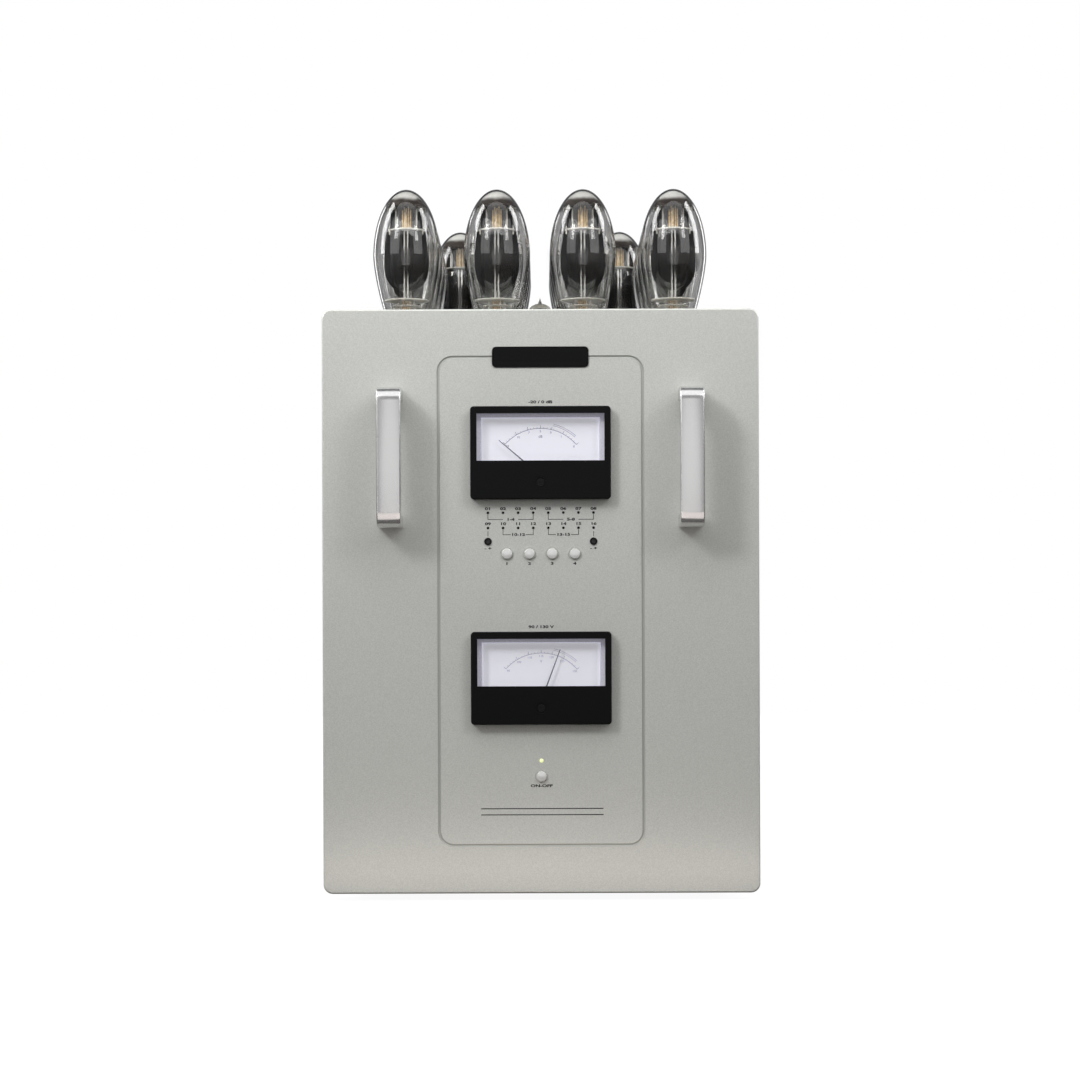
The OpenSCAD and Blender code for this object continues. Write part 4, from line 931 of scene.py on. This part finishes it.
# Half of an anode's folded outline; the other half is the same, turned half round
ANODE_HALF = MM * np.array((
    (-20.0, -0.7), (-14.0, -0.7), (-14.0, -6.0), (-11.5, -9.2), (-3.8, -9.2), (-3.8, -6.2),
    (3.8, -6.2), (3.8, -9.2), (11.5, -9.2), (14.0, -6.0), (14.0, -0.7), (20.0, -0.7)
))
ANODE_OUTLINE = np.concatenate((ANODE_HALF, -ANODE_HALF))


def egg(sizes, shrink, rows):
    """Radius and depth along an egg: a half ellipse down to the belly, then a taper that falls as a power
    of the depth, then a straight neck. shrink moves the whole line inwards by the wall."""
    taper_power = 1.47
    radius = sizes.bulb_radius - shrink
    belly = sizes.belly - shrink
    turn = np.linspace(0.0, np.pi / 2, rows)
    fall = np.linspace(0.0, 1.0, rows)[1:]
    neck = sizes.neck_radius - shrink
    dome = np.stack((radius * np.sin(turn), shrink + belly * (1.0 - np.cos(turn))), axis=-1)
    taper = np.stack((
        radius - (radius - neck) * fall ** taper_power,
        sizes.belly + (sizes.neck_depth - sizes.belly) * fall
    ), axis=-1)
    foot = np.array([(neck, sizes.foot_depth - shrink)])
    return np.concatenate((dome, taper, foot))


def power_places(sizes):
    """Middle of each power and driver tube at the height of the bulbs' tops."""
    outer = BASE_HIGH[0] - sizes.base_radius
    first = BASE_LOW[1] + sizes.base_radius
    last = BASE_HIGH[1] - sizes.base_radius
    driver_x = (outer + sizes.inner_column) / 2
    rows = np.arange(first, last - sizes.driver_gap + MM, sizes.row_pitch)
    columns = (-outer, -sizes.inner_column, sizes.inner_column, outer)
    spots = [(x, y, TUBE_TOP) for y in rows for x in columns]
    return np.array(spots + [(-driver_x, last, TUBE_TOP), (driver_x, last, TUBE_TOP)])


def signal_places():
    """Middle of each small signal tube at the height of its tip, with its radius and its height."""
    low, high = corners("signal_tube_glass")
    radius = (high[0] - low[0]) / 2
    spots = np.array([(0.0, low[1] + radius, high[2]), (0.0, high[1] - radius, high[2])])
    return spots, radius, high[2] - low[2]


def signal_profile(radius, height, wall):
    """Radius and height along a small tube's glass: a pointed tip, a quarter-ellipse dome and a straight
    side, then the same line one wall inside on the way back."""
    dome = 8.0 * MM
    tip = 6.0 * MM
    tip_radius = 2.0 * MM
    tip_power = 1.4
    tip_steps = 6
    dome_steps = 12
    turn = np.linspace(0.0, np.pi / 2, dome_steps)
    rise = np.linspace(0.0, 1.0, tip_steps)
    point = np.stack((tip_radius * rise ** tip_power, -tip * rise), axis=-1)
    start = math.asin(tip_radius / radius)
    arch = np.linspace(start, np.pi / 2, dome_steps)
    bow = np.stack((radius * np.sin(arch), -tip - dome * (math.cos(start) - np.cos(arch))), axis=-1)[1:]
    outside = np.concatenate((point, bow, [(radius, -height)]))
    inside = np.stack(
        ((radius - wall) * np.sin(turn), -tip - 2.0 * wall - (dome - wall) * (1.0 - np.cos(turn))), axis=-1
    )
    inside = np.concatenate((inside, [(radius - wall, wall - height)], [(0.0, wall - height)]))
    return np.concatenate((outside, [(0.0, -height)], inside[::-1]))


class AMP_OT_bulbs(Operator):
    """Blow the glass bulbs of the power tubes and the signal tubes"""

    bl_idname = "amp.bulbs"
    bl_label = "Glass bulbs"

    def execute(self, context):
        sizes = context.scene.amp_tubes
        glass = tube_glass(context.scene.amp_finish)
        segments = 52
        outer_rows = 22
        inner_rows = 20
        signal_wall = 0.9 * MM
        outer = egg(sizes, 0.0, outer_rows)
        inner = egg(sizes, sizes.wall, inner_rows)[::-1]
        power_profile = np.concatenate((outer, inner)) * (1.0, -1.0)
        small, radius, height = signal_places()
        for name, profile, spots, node in (
            ("power_bulbs", power_profile, power_places(sizes), "power_tube_glass"),
            ("signal_bulbs", signal_profile(radius, height, signal_wall), small, "signal_tube_glass")
        ):
            shape = Shape()
            for spot in spots:
                shape.turned(profile, spot, UP, segments)
            place(name, shape.mesh(name), glass, replaced=(node,))
        return {"FINISHED"}


def box_outline(width, depth):
    """The four corners of a rectangle round the middle."""
    return np.array(((-1, -1), (1, -1), (1, 1), (-1, 1))) * (width / 2, depth / 2)


def toothed_disc(radius, teeth, depth, thick):
    """A thin disc whose rim is cut into teeth: the radius steps between two values with the turn."""
    points_per_tooth = 6
    gap_below = -0.2
    turn = np.linspace(0.0, 2.0 * np.pi, teeth * points_per_tooth, endpoint=False)
    rim = np.where(np.cos(teeth * turn) > gap_below, radius, radius - depth)
    ring = np.stack((rim * np.cos(turn), rim * np.sin(turn), np.zeros_like(turn)), axis=-1)
    lift = np.array((0.0, 0.0, thick / 2))
    return np.stack((0.0 * ring - lift, ring - lift, ring + lift, 0.0 * ring + lift))


def anode_plates(spots, small, small_height):
    """The anodes: the folded outline carried down to a round end, where it narrows as a quarter circle.
    Two lugs and a dark backing plate stand on each, the plate painted shade behind the gold fins, and a signal
    tube's anode is a plain box."""
    round_part = 22.0 * MM
    steps = 9
    narrowest = np.array((0.3, 0.7))
    lug = box_outline(4.0 * MM, 0.8 * MM)
    lug_x = 12.2 * MM
    lug_y = 1.0 * MM
    lug_top = TOP_MICA - 2.0 * MM
    backing = box_outline(15.0 * MM, 0.8 * MM) + (0.0, 2.6 * MM)
    backing_top = -18.0 * MM
    small_box = box_outline(12.0 * MM, 8.0 * MM)
    small_low = -0.72 * small_height
    small_high = -0.24 * small_height
    fall = np.linspace(0.0, 1.0, steps)
    arch = np.sqrt(1.0 - fall ** 2)[:, None]
    heights = np.concatenate(((ANODE_TOP,), ANODE_LOW + round_part * (1.0 - fall)))
    scales = np.concatenate((((1.0, 1.0),), narrowest + (1.0 - narrowest) * arch))
    shape = Shape()
    for spot in spots:
        shape.loft(ANODE_OUTLINE, heights, scales, spot)
        for x in (-lug_x, lug_x):
            shape.prism(lug + (x, lug_y), ANODE_MICA, lug_top, spot)
        # The dark backing plate puts painted shade in the gaps between the gold fins.
        shape.prism(backing, ANODE_MICA, backing_top, spot)
    for spot in small:
        shape.prism(small_box, small_low, small_high, spot)
    return shape


def mica_sheets(spots, small, small_radius, small_height):
    """The pale pieces: toothed mica discs, and at each side of a tube three upright clips, a bar and a hook. A
    glass stem is turned at the foot. On the clips the pale finish is a painted glint, and on the glass stem it is
    painted light."""
    # Height, radius and thickness of each disc
    discs = (
        (ANODE_MICA, 16.0 * MM, 1.1 * MM), (LOW_MICA, 20.0 * MM, 0.8 * MM), (SHIELD_MICA, 13.0 * MM, 0.6 * MM)
    )
    teeth = 14
    tooth_depth = 1.6 * MM
    clip = box_outline(1.2 * MM, 0.8 * MM)
    # Place across and along, depth of the top and length of each clip
    clips = MM * np.array(((11.5, -6.0, 14.5, 4.5), (14.8, -4.0, 15.5, 5.5), (17.0, -1.0, 13.5, 6.0)))
    bar = box_outline(8.0 * MM, 1.0 * MM)
    bar_x = 13.6 * MM
    bar_y = -4.5 * MM
    bar_half = 0.5 * MM
    hook = box_outline(1.4 * MM, 0.8 * MM)
    hook_x = 14.6 * MM
    hook_y = -5.0 * MM
    hook_drop = 4.2 * MM
    stem = MM * np.array(((0.0, -131.0), (15.0, -131.0), (14.0, -122.0), (9.0, -114.0), (0.0, -112.0)))
    stem_segments = 20
    small_shares = (0.22, 0.74)
    small_rim = small_radius - 1.4 * MM
    small_disc = toothed_disc(small_rim, teeth=10, depth=0.8 * MM, thick=0.4 * MM)
    shape = Shape()
    for spot in spots:
        for height, radius, thick in discs:
            disc = toothed_disc(radius, teeth, tooth_depth, thick)
            shape.grid(spot + (0.0, 0.0, height) + disc, close_columns=True)
        for side in (-1.0, 1.0):
            # The clips take the pale mica finish: painted glints.
            for x, y, top, drop in clips:
                shape.prism(clip + (side * x, y), -top - drop, -top, spot)
            shape.prism(bar + (side * bar_x, bar_y), TOP_MICA - bar_half, TOP_MICA + bar_half, spot)
            shape.prism(hook + (side * hook_x, hook_y), ANODE_MICA - hook_drop, ANODE_MICA, spot)
        # The glass stem takes the pale mica finish: painted light.
        shape.turned(stem, spot, UP, stem_segments)
    for spot in small:
        for share in small_shares:
            shape.grid(spot + (0.0, 0.0, -share * small_height) + small_disc, close_columns=True)
    return shape


def grid_fins(spots):
    """The gold strips: five above the anode, and their lower ends below it."""
    strip = box_outline(1.1 * MM, 2.0 * MM)
    low_end = -108.0 * MM
    # Place across and along, and height of the top
    fins = MM * np.array((
        (-3.4, -1.0, -18.6), (-1.7, -2.4, -16.2), (0.2, -1.6, -17.2), (2.0, -2.8, -15.8), (3.8, -1.2, -18.2)
    ))
    shape = Shape()
    for spot in spots:
        for x, y, top in fins:
            shape.prism(strip + (x, y), ANODE_MICA, top, spot)
            shape.prism(strip + (x, y), low_end, LOW_MICA, spot)
    return shape


def wire_rods(spots, small, small_height):
    """The bright rods: a line from low to high turned round each rod's own axis."""
    segments = 10
    # Ends of a rod, then each rod's place across and along and its radius in millimetres
    groups = (
        (LOW_MICA, ANODE_MICA, ((-1.5, -8.0, 0.8), (1.5, -8.0, 0.8), (-1.5, 8.0, 0.8), (1.5, 8.0, 0.8))),
        (ANODE_MICA, TOP_MICA, ((-9.2, -1.0, 0.6), (9.2, -1.0, 0.6), (-1.0, -2.6, 0.6), (2.2, -2.6, 0.5))),
        (FOOT, LOW_MICA, ((-7.0, 0.0, 0.9), (7.0, 0.0, 0.9), (-3.0, 3.0, 0.7), (3.0, -3.0, 0.7)))
    )
    small_group = (1.0 * MM - small_height, -0.2 * small_height, ((-3.0, 0.0, 0.7), (3.0, 0.0, 0.7)))
    shape = Shape()
    for places, rows in ((spots, groups), (small, (small_group,))):
        for spot in places:
            for low, high, rods in rows:
                for x, y, radius in MM * np.array(rods):
                    profile = ((0.0, low), (radius, low), (radius, high), (0.0, high))
                    shape.turned(profile, spot + (x, y, 0.0), UP, segments)
    return shape


def getter_caps(sizes, spots):
    """The silvered caps: the part of the egg above the getter's depth, and the same line one film inside."""
    rows = 40
    segments = 40
    outer = egg(sizes, sizes.wall + FILM_GAP, rows)
    inner = egg(sizes, sizes.wall + FILM_GAP + FILM, rows)
    covered = outer[:, 1] < sizes.getter_depth
    profile = np.concatenate((outer[covered], inner[covered][::-1])) * (1.0, -1.0)
    shape = Shape()
    for spot in spots:
        shape.turned(profile, spot, UP, segments)
    return shape


def flash_patch(sizes, spot):
    """A round patch on the inside of a bulb: at a distance d and turn a from its middle it lies d * sin a
    higher, and d * cos a further round the bulb, whose radius follows the egg. The inner side runs back to
    the middle."""
    turn_deg = 19.0
    ring_count = 9
    segments = 32
    egg_rows = 40
    rings = np.linspace(0.0, sizes.flash_radius, ring_count)
    turn = np.linspace(0.0, 2.0 * np.pi, segments, endpoint=False)
    outside = sizes.wall + FILM_GAP
    layers = []
    for shrink, reach in ((outside, rings), (outside + FILM, rings[::-1])):
        line = egg(sizes, shrink, egg_rows)
        depth = sizes.flash_depth - reach[:, None] * np.sin(turn)
        radius = np.interp(depth, line[:, 1], line[:, 0])
        way = math.radians(turn_deg) + reach[:, None] * np.cos(turn) / sizes.bulb_radius
        layers.append(np.stack((radius * np.sin(way), -radius * np.cos(way), -depth), axis=-1))
    patch = spot + np.concatenate(layers)
    return patch, patch[0].mean(axis=0)


def flash_mesh(name, sizes, spots):
    """The round dark flashes. Their cover falls in a straight line with the distance from the middle."""
    shape = Shape()
    middles = []
    for spot in spots:
        patch, middle = flash_patch(sizes, spot)
        shape.grid(patch, close_columns=True)
        middles.append(middle)
    mesh = shape.mesh(name)
    flat = np.zeros(len(mesh.vertices) * 3)
    mesh.vertices.foreach_get("co", flat)
    reach = np.linalg.norm(flat.reshape(-1, 1, 3) - np.array(middles), axis=-1).min(axis=1)
    cover = mesh.attributes.new("cover", "FLOAT", "POINT")
    cover.data.foreach_set("value", np.clip(1.0 - reach / sizes.flash_radius, 0.0, 1.0))
    return mesh


class AMP_OT_electrodes(Operator):
    """Make the plates, fins, rods, mica sheets and getters inside the tubes"""

    bl_idname = "amp.electrodes"
    bl_label = "Tube electrodes"

    def execute(self, context):
        sizes = context.scene.amp_tubes
        finish = context.scene.amp_finish
        spots = power_places(sizes)
        small, radius, height = signal_places()
        silver = getter_silver(finish, TUBE_TOP, sizes.getter_depth)
        shapes = (
            ("tube_anodes", anode_plates(spots, small, height), electrode_metal(finish)),
            ("tube_micas", mica_sheets(spots, small, radius, height), mica(finish)),
            ("tube_grid_fins", grid_fins(spots), gold_fin(finish)),
            ("tube_rods", wire_rods(spots, small, height), bright_nickel(finish)),
            ("tube_getters", getter_caps(sizes, spots), silver)
        )
        rows = [(name, shape.mesh(name), material) for name, shape, material in shapes]
        flash = "tube_side_flashes"
        rows.append((flash, flash_mesh(flash, sizes, spots), side_flash(finish)))
        for name, mesh, material in rows:
            place(name, mesh, material, replaced=("tube_electrodes",))
        return {"FINISHED"}


# Printing

INK = 0.03 * MM
INK_GAP = 0.01 * MM


def stroke(start, end, width):
    """A straight printed line: two points at each end, half the width to either side."""
    a, b = np.asarray(start, float), np.asarray(end, float)
    along = (b - a) / np.linalg.norm(b - a)
    left = np.array((-along[1], along[0])) * width / 2
    return np.stack((np.stack((a - left, a + left)), np.stack((b - left, b + left))))


def bearing(angle_deg):
    """The way that an angle points, counted clockwise from straight up: its sine across and its cosine up."""
    turn = np.radians(angle_deg)
    return np.stack((np.sin(turn), np.cos(turn)), axis=-1)


def arc(centre, radius, start_deg, end_deg, width):
    """A printed arc: a row of bearings, each multiplied by the radius at the line's two edges."""
    steps = 40
    way = bearing(np.linspace(start_deg, end_deg, steps))
    radii = np.array((radius - width / 2, radius + width / 2))
    return np.asarray(centre) + way[:, None, :] * radii[None, :, None]


def lettered(words, height, weight, stretch):
    """Points and faces of words set flat and centred: x across and y up. weight thickens the strokes, and
    stretch widens the letters."""
    figure_share = 0.7
    curve = bpy.data.curves.new("words", "FONT")
    curve.body = words
    curve.size = height / figure_share
    curve.align_x = "CENTER"
    curve.align_y = "CENTER"
    curve.resolution_u = 3
    curve.offset = weight
    holder = bpy.data.objects.new("words", curve)
    bpy.context.scene.collection.objects.link(holder)
    graph = bpy.context.evaluated_depsgraph_get()
    mesh = bpy.data.meshes.new_from_object(holder.evaluated_get(graph))
    flat = np.zeros(len(mesh.vertices) * 3)
    mesh.vertices.foreach_get("co", flat)
    faces = [list(face.vertices) for face in mesh.polygons]
    bpy.data.objects.remove(holder)
    bpy.data.curves.remove(curve)
    bpy.data.meshes.remove(mesh)
    return flat.reshape(-1, 3)[:, :2] * (stretch, 1.0), faces


class Print:
    """Gathers flat marks on a plane that faces the front, and makes them a thin coat of ink."""

    def __init__(self, surface):
        self.shape = Shape()
        self.depth = surface - INK_GAP

    def lift(self, flat):
        """Stands flat points up: x stays, y becomes height, and depth is the plane's."""
        flat = np.asarray(flat)
        return np.stack((flat[..., 0], np.full(flat.shape[:-1], self.depth), flat[..., 1]), axis=-1)

    def mark(self, flat):
        """Adds a line or an arc."""
        self.shape.grid(self.lift(flat))

    def words(self, text, height, spot, weight=0.0, stretch=1.0):
        """Adds words round a spot."""
        flat, faces = lettered(text, height, weight, stretch)
        self.shape.polygons(self.lift(flat + np.asarray(spot)), faces)

    def finish(self, name, ink):
        """Makes the piece, with the ink's thickness standing out from the plane."""
        piece = place(name, self.shape.mesh(name, outward=False), ink)
        coat = piece.modifiers.new("ink thickness", "SOLIDIFY")
        coat.thickness = INK
        coat.offset = 1.0


class AMP_OT_printing(Operator):
    """Print the numbers and lines on the front panel"""

    bl_idname = "amp.printing"
    bl_label = "Panel printing"

    def execute(self, context):
        sizes = context.scene.amp_front
        width = sizes.line_width
        size = sizes.numeral_height
        bold = {"weight": 0.13 * MM, "stretch": 1.6}
        lamps = 8
        lamp_pitch = 12.7 * MM
        lamp_x = (np.arange(lamps) - (lamps - 1) / 2) * lamp_pitch
        # Heights of the marks, taken from the panel's lower edge
        base = PANEL_LOW[2]
        lamp_numbers = (base + 323.8 * MM, base + 311.1 * MM)
        upper = base + 314.8 * MM
        lower = base + 302.0 * MM
        tick_low = base + 300.6 * MM
        tick_high = base + 304.8 * MM
        trimmer_signs = base + 290.4 * MM
        button_numbers = base + 277.6 * MM
        switch_words = base + 90.5 * MM
        rules = (base + 71.4 * MM, base + 66.2 * MM)
        # Each bracket's height, first lamp, last lamp and numbers
        brackets = (
            (upper, 0, 3, "1-4"), (upper, 4, 7, "5-8"), (lower, 1, 3, "10-12"), (lower, 4, 6, "13-15")
        )
        bracket_leg = 4.4 * MM
        bracket_gap = 6.4 * MM
        rule_left = -51.0 * MM
        rule_right = 52.0 * MM
        rule_width = 0.8 * MM
        meter_words = (("output_needle_swing", "-20 / 0 dB"), ("line_needle_swing", "90 / 130 V"))
        above_pivot = 62.0 * MM

        marks = Print(PANEL_FRONT)
        for row, z in enumerate(lamp_numbers):
            for k, x in enumerate(lamp_x):
                marks.words("%02d" % (k + 1 + lamps * row), size, (x, z), **bold)
        for z, first, last, words in brackets:
            middle = (lamp_x[first] + lamp_x[last]) / 2
            for end, side in ((lamp_x[first], -1.0), (lamp_x[last], 1.0)):
                marks.mark(stroke((end, z), (middle + side * bracket_gap, z), width))
                marks.mark(stroke((end, z - width / 2), (end, z + bracket_leg), width))
            marks.words(words, size, (middle, z), **bold)
        for x in (lamp_x[0], lamp_x[-1]):
            marks.mark(stroke((x, tick_low), (x, tick_high), width))
            marks.words("- +", size, (x, trimmer_signs), **bold)
        for k, node in enumerate(FUNCTION_BUTTONS):
            low, high = corners(node)
            marks.words(str(k + 1), size, ((low[0] + high[0]) / 2, button_numbers), **bold)
        marks.words("ON-OFF", size, (0.0, switch_words), **bold)
        for joint, words in meter_words:
            marks.words(words, size, (0.0, pivot(joint)[2] + above_pivot), **bold)
        for z in rules:
            marks.mark(stroke((rule_left, z), (rule_right, z), rule_width))
        marks.finish("panel_printing", print_ink("panel_ink", "#232324"))
        return {"FINISHED"}


class AMP_OT_dials(Operator):
    """Print the scales of the two meters"""

    bl_idname = "amp.dials"
    bl_label = "Meter dials"

    def execute(self, context):
        radius = context.scene.amp_front.scale_radius
        surface = corners("meter_dials")[0][1]
        rows = (
            ("output_scale", "output_needle_swing", "#5A5A60", ("20", "10", "7", "5", "3", "1", "0"), "dB"),
            ("line_scale", "line_needle_swing", "#A8A8AE",
             ("90", "100", "110", "115", "120", "125", "130"), "V"),
        )
        scale_ends = (-48.0, 49.0)
        scale_width = 0.4 * MM
        band_ends = (14.0, 42.0)
        band_heights = (3.6 * MM, 4.9 * MM)
        band_width = 0.28 * MM
        number_deg = (-48.0, -30.0, -15.0, 0.0, 13.5, 28.0, 49.0)
        number_size = 1.9 * MM
        number_drop = 2.6 * MM
        # Length and width of the ticks at the numbers, and of the fine ticks between them
        long_tick = (2.4 * MM, 0.35 * MM)
        fine_tick = (1.3 * MM, 0.22 * MM)
        fine_deg = np.linspace(-44.0, 44.0, 23)
        unit_size = 2.2 * MM
        unit_height = 33.0 * MM
        for name, joint, code, numbers, unit in rows:
            spot = pivot(joint)[[0, 2]]
            marks = Print(surface)
            marks.mark(arc(spot, radius, *scale_ends, scale_width))
            for above in band_heights:
                marks.mark(arc(spot, radius + above, *band_ends, band_width))
            for angle, number in zip(number_deg, numbers):
                marks.words(number, number_size, spot + bearing(angle) * (radius - number_drop))
            for angles, (reach, width) in ((number_deg, long_tick), (fine_deg, fine_tick)):
                for way in bearing(angles):
                    marks.mark(stroke(spot + way * radius, spot + way * (radius + reach), width))
            marks.words(unit, unit_size, spot + (0.0, unit_height))
            marks.finish(name, print_ink(name + "_ink", code))
        return {"FINISHED"}


# Stage

class AMP_OT_stage(Operator):
    """Set up the camera, the floor, the lamps and the world"""

    bl_idname = "amp.stage"
    bl_label = "Stage"

    def execute(self, context):
        stage = context.scene.amp_stage
        scene = context.scene
        scene.view_settings.view_transform = "Standard"
        scene.cycles.max_bounces = 32
        scene.cycles.transmission_bounces = 28
        scene.cycles.transparent_max_bounces = 32
        make_camera(scene, stage)
        make_floor()
        make_world(scene)
        mirrored = stage.corner_power
        # Each lamp's name, place, width and height, power, and the rays that don't see it
        lamps = []
        for name, side, power in (("left", -1.0, stage.left_power), ("right", 1.0, stage.right_power)):
            lamps += [
                (name + "_side_lamp", (side * 1.45, -0.1, 1.3), (0.5, 1.3), stage.side_power, ()),
                (name + "_corner_card", (side * 1.5, -1.75, 1.45), (1.4, 1.5), mirrored, ("diffuse",)),
                (name + "_corner_lamp", (side * 1.35, -1.75, 1.6), (0.45, 0.6), power, ("glossy",)),
                (name + "_rim_lamp", (side * 1.0, 1.0, 0.75), (0.25, 1.0), stage.rim_power, ()),
            ]
        lamps += [
            ("top_lamp", (0.0, -0.72, 1.25), (1.3, 0.8), stage.top_power, ()),
            ("edge_lamp", (-0.15, -0.55, 0.85), (0.7, 0.1), stage.edge_power, ("glossy",)),
            ("deck_lamp", (0.0, 0.12, 1.5), (0.5, 0.9), stage.deck_power, ("glossy", "transmission")),
            ("rear_lamp", (0.0, 2.0, 1.1), (1.0, 1.0), stage.rear_power, ("glossy", "transmission")),
        ]
        for name, spot, size, power, unseen in lamps:
            make_lamp(name, spot, size, power, unseen)
        strip_spot = (0.0, PANEL_FRONT - 0.04, 0.014)
        strip_size = (0.42, 0.03)
        unseen = ("camera", "glossy")
        make_lamp("floor_lamp", strip_spot, strip_size, stage.floor_power, unseen, code="#FFF4EA")
        return {"FINISHED"}


def make_camera(scene, stage):
    """A level camera in front of the panel, turned a little about its line of sight. Its frame is shifted
    so that upright lines stay upright."""
    roll_deg = 0.2
    data = bpy.data.cameras.new("camera")
    data.sensor_width = 36.0
    data.lens = stage.focal_mm
    data.shift_x = -0.001
    data.shift_y = 0.0741
    data.clip_end = 50.0
    camera = bpy.data.objects.new("camera", data)
    camera.location = (0.0, PANEL_FRONT - stage.camera_distance, stage.camera_height)
    camera.rotation_euler = (math.pi / 2, math.radians(roll_deg), 0.0)
    scene.collection.objects.link(camera)
    scene.camera = camera


def make_floor():
    """A floor that is near white to the camera, with the object's shadow left in it, and a dark grey to all
    other rays, so that it doesn't light the panel's foot. Far out it goes over to the white behind it."""
    half = 4.0
    lines = 9
    glow_strength = 1.07
    near_reach = 0.5
    far_reach = 1.5
    near_glow = 0.88
    shape = Shape()
    line = np.linspace(-half, half, lines)
    x, y = np.meshgrid(line, line, indexing="ij")
    shape.grid(np.stack((x, y, np.zeros_like(x)), axis=-1))
    material, tree = blank("white_floor_paint")
    where = add(tree, "ShaderNodeTexCoord").outputs["Object"]
    camera_ray = add(tree, "ShaderNodeLightPath").outputs["Is Camera Ray"]
    shown = add(
        tree, "ShaderNodeMix", {0: camera_ray, 6: linear("#403E3C"), 7: linear("#F4F3F2")}, data_type="RGBA"
    )
    paint = add(tree, "ShaderNodeBsdfPrincipled", {"Base Color": shown.outputs[2], "Roughness": 0.8})
    glow = add(tree, "ShaderNodeEmission", {"Color": linear("#FFFFFF"), "Strength": glow_strength})
    reach = add(tree, "ShaderNodeVectorMath", {0: where}, operation="LENGTH")
    white = add(
        tree, "ShaderNodeMapRange",
        {"Value": reach.outputs["Value"], "From Min": near_reach, "From Max": far_reach, "To Min": near_glow,
         "To Max": 1.0}
    )
    seen = add(tree, "ShaderNodeMath", {0: camera_ray, 1: white.outputs["Result"]}, operation="MULTIPLY")
    mixed = add(tree, "ShaderNodeMixShader", {0: seen.outputs[0], 1: paint.outputs[0], 2: glow.outputs[0]})
    add(tree, "ShaderNodeOutputMaterial", {"Surface": mixed.outputs[0]})
    mesh = shape.mesh("floor", outward=False)
    mesh.materials.append(material)
    floor = bpy.data.objects.new("floor", mesh)
    bpy.context.scene.collection.objects.link(floor)


def make_world(scene):
    """A soft studio: bright straight in front, pale straight behind, and dim at the sides and overhead. The
    camera itself sees white."""
    # Axis of each zone, where it starts, where it is full, and its grey
    zones = (
        ("Z", -0.25, 0.1, "#8C8C8C"), ("Y", -0.94, -0.98, "#E8E8E8"), ("Y", -0.75, -0.35, "#5E5E60"),
        ("Z", 0.4, 0.8, "#505053"), ("Y", 0.92, 0.98, "#A8A8AA")
    )
    world = bpy.data.worlds.new("soft_studio")
    world.use_nodes = True
    tree = world.node_tree
    tree.nodes.clear()
    way = add(tree, "ShaderNodeTexCoord").outputs["Generated"]
    axes = add(tree, "ShaderNodeSeparateXYZ", {"Vector": way})
    seen = linear("#505052")
    for axis, start, end, code in zones:
        zone = add(
            tree, "ShaderNodeMapRange", {"Value": axes.outputs[axis], "From Min": start, "From Max": end},
            interpolation_type="SMOOTHSTEP"
        )
        seen = add(
            tree, "ShaderNodeMix", {0: zone.outputs["Result"], 6: seen, 7: linear(code)}, data_type="RGBA"
        ).outputs[2]
    studio = add(tree, "ShaderNodeBackground", {"Color": seen, "Strength": 1.0})
    white = add(tree, "ShaderNodeBackground", {"Color": linear("#FFFFFF"), "Strength": 1.0})
    path = add(tree, "ShaderNodeLightPath")
    mixed = add(
        tree, "ShaderNodeMixShader",
        {0: path.outputs["Is Camera Ray"], 1: studio.outputs[0], 2: white.outputs[0]}
    )
    add(tree, "ShaderNodeOutputWorld", {"Surface": mixed.outputs[0]})
    scene.world = world


def make_lamp(name, spot, size, power, unseen=(), code="#FFFFFF"):
    """A rectangular soft lamp that faces the middle of the object. unseen names the rays that pass it by."""
    aim = Vector((0.0, 0.0, 0.42))
    data = bpy.data.lights.new(name, "AREA")
    data.shape = "RECTANGLE"
    data.size, data.size_y = size
    data.energy = power
    data.color = linear(code)[:3]
    lamp = bpy.data.objects.new(name, data)
    lamp.location = spot
    lamp.rotation_euler = (aim - Vector(spot)).to_track_quat("-Z", "Y").to_euler()
    for ray in unseen:
        setattr(lamp, "visible_" + ray, False)
    bpy.context.scene.collection.objects.link(lamp)
    return lamp


class AMP_PT_sidebar(Panel):
    """Lists the steps that build the amplifier's looks"""

    bl_label = "Amplifier"
    bl_space_type = "VIEW_3D"
    bl_region_type = "UI"
    bl_category = "Amplifier"

    def draw(self, context):
        for step in STEPS:
            self.layout.operator(step.bl_idname)
        for group in GROUPS:
            for name in GROUPS[group].__annotations__:
                self.layout.prop(getattr(context.scene, group), name)


GROUPS = {
    "amp_tubes": AMP_PG_tubes, "amp_front": AMP_PG_front, "amp_finish": AMP_PG_finish,
    "amp_stage": AMP_PG_stage
}
STEPS = (
    AMP_OT_stage, AMP_OT_case, AMP_OT_handles, AMP_OT_frame_line, AMP_OT_controls, AMP_OT_bulbs,
    AMP_OT_electrodes, AMP_OT_printing, AMP_OT_dials
)


def register():
    """Registers the property groups, the operators and the panel."""
    for group in GROUPS.values():
        bpy.utils.register_class(group)
    for name, group in GROUPS.items():
        setattr(bpy.types.Scene, name, PointerProperty(type=group))
    for step in STEPS:
        bpy.utils.register_class(step)
    bpy.utils.register_class(AMP_PT_sidebar)


def unregister():
    """Takes back what register did."""
    bpy.utils.unregister_class(AMP_PT_sidebar)
    for step in reversed(STEPS):
        bpy.utils.unregister_class(step)
    for name, group in reversed(GROUPS.items()):
        delattr(bpy.types.Scene, name)
        bpy.utils.unregister_class(group)


def main():
    """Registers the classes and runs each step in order."""
    register()
    for step in STEPS:
        group, name = step.bl_idname.split(".")
        getattr(getattr(bpy.ops, group), name)()


if __name__ == "__main__":
    main()
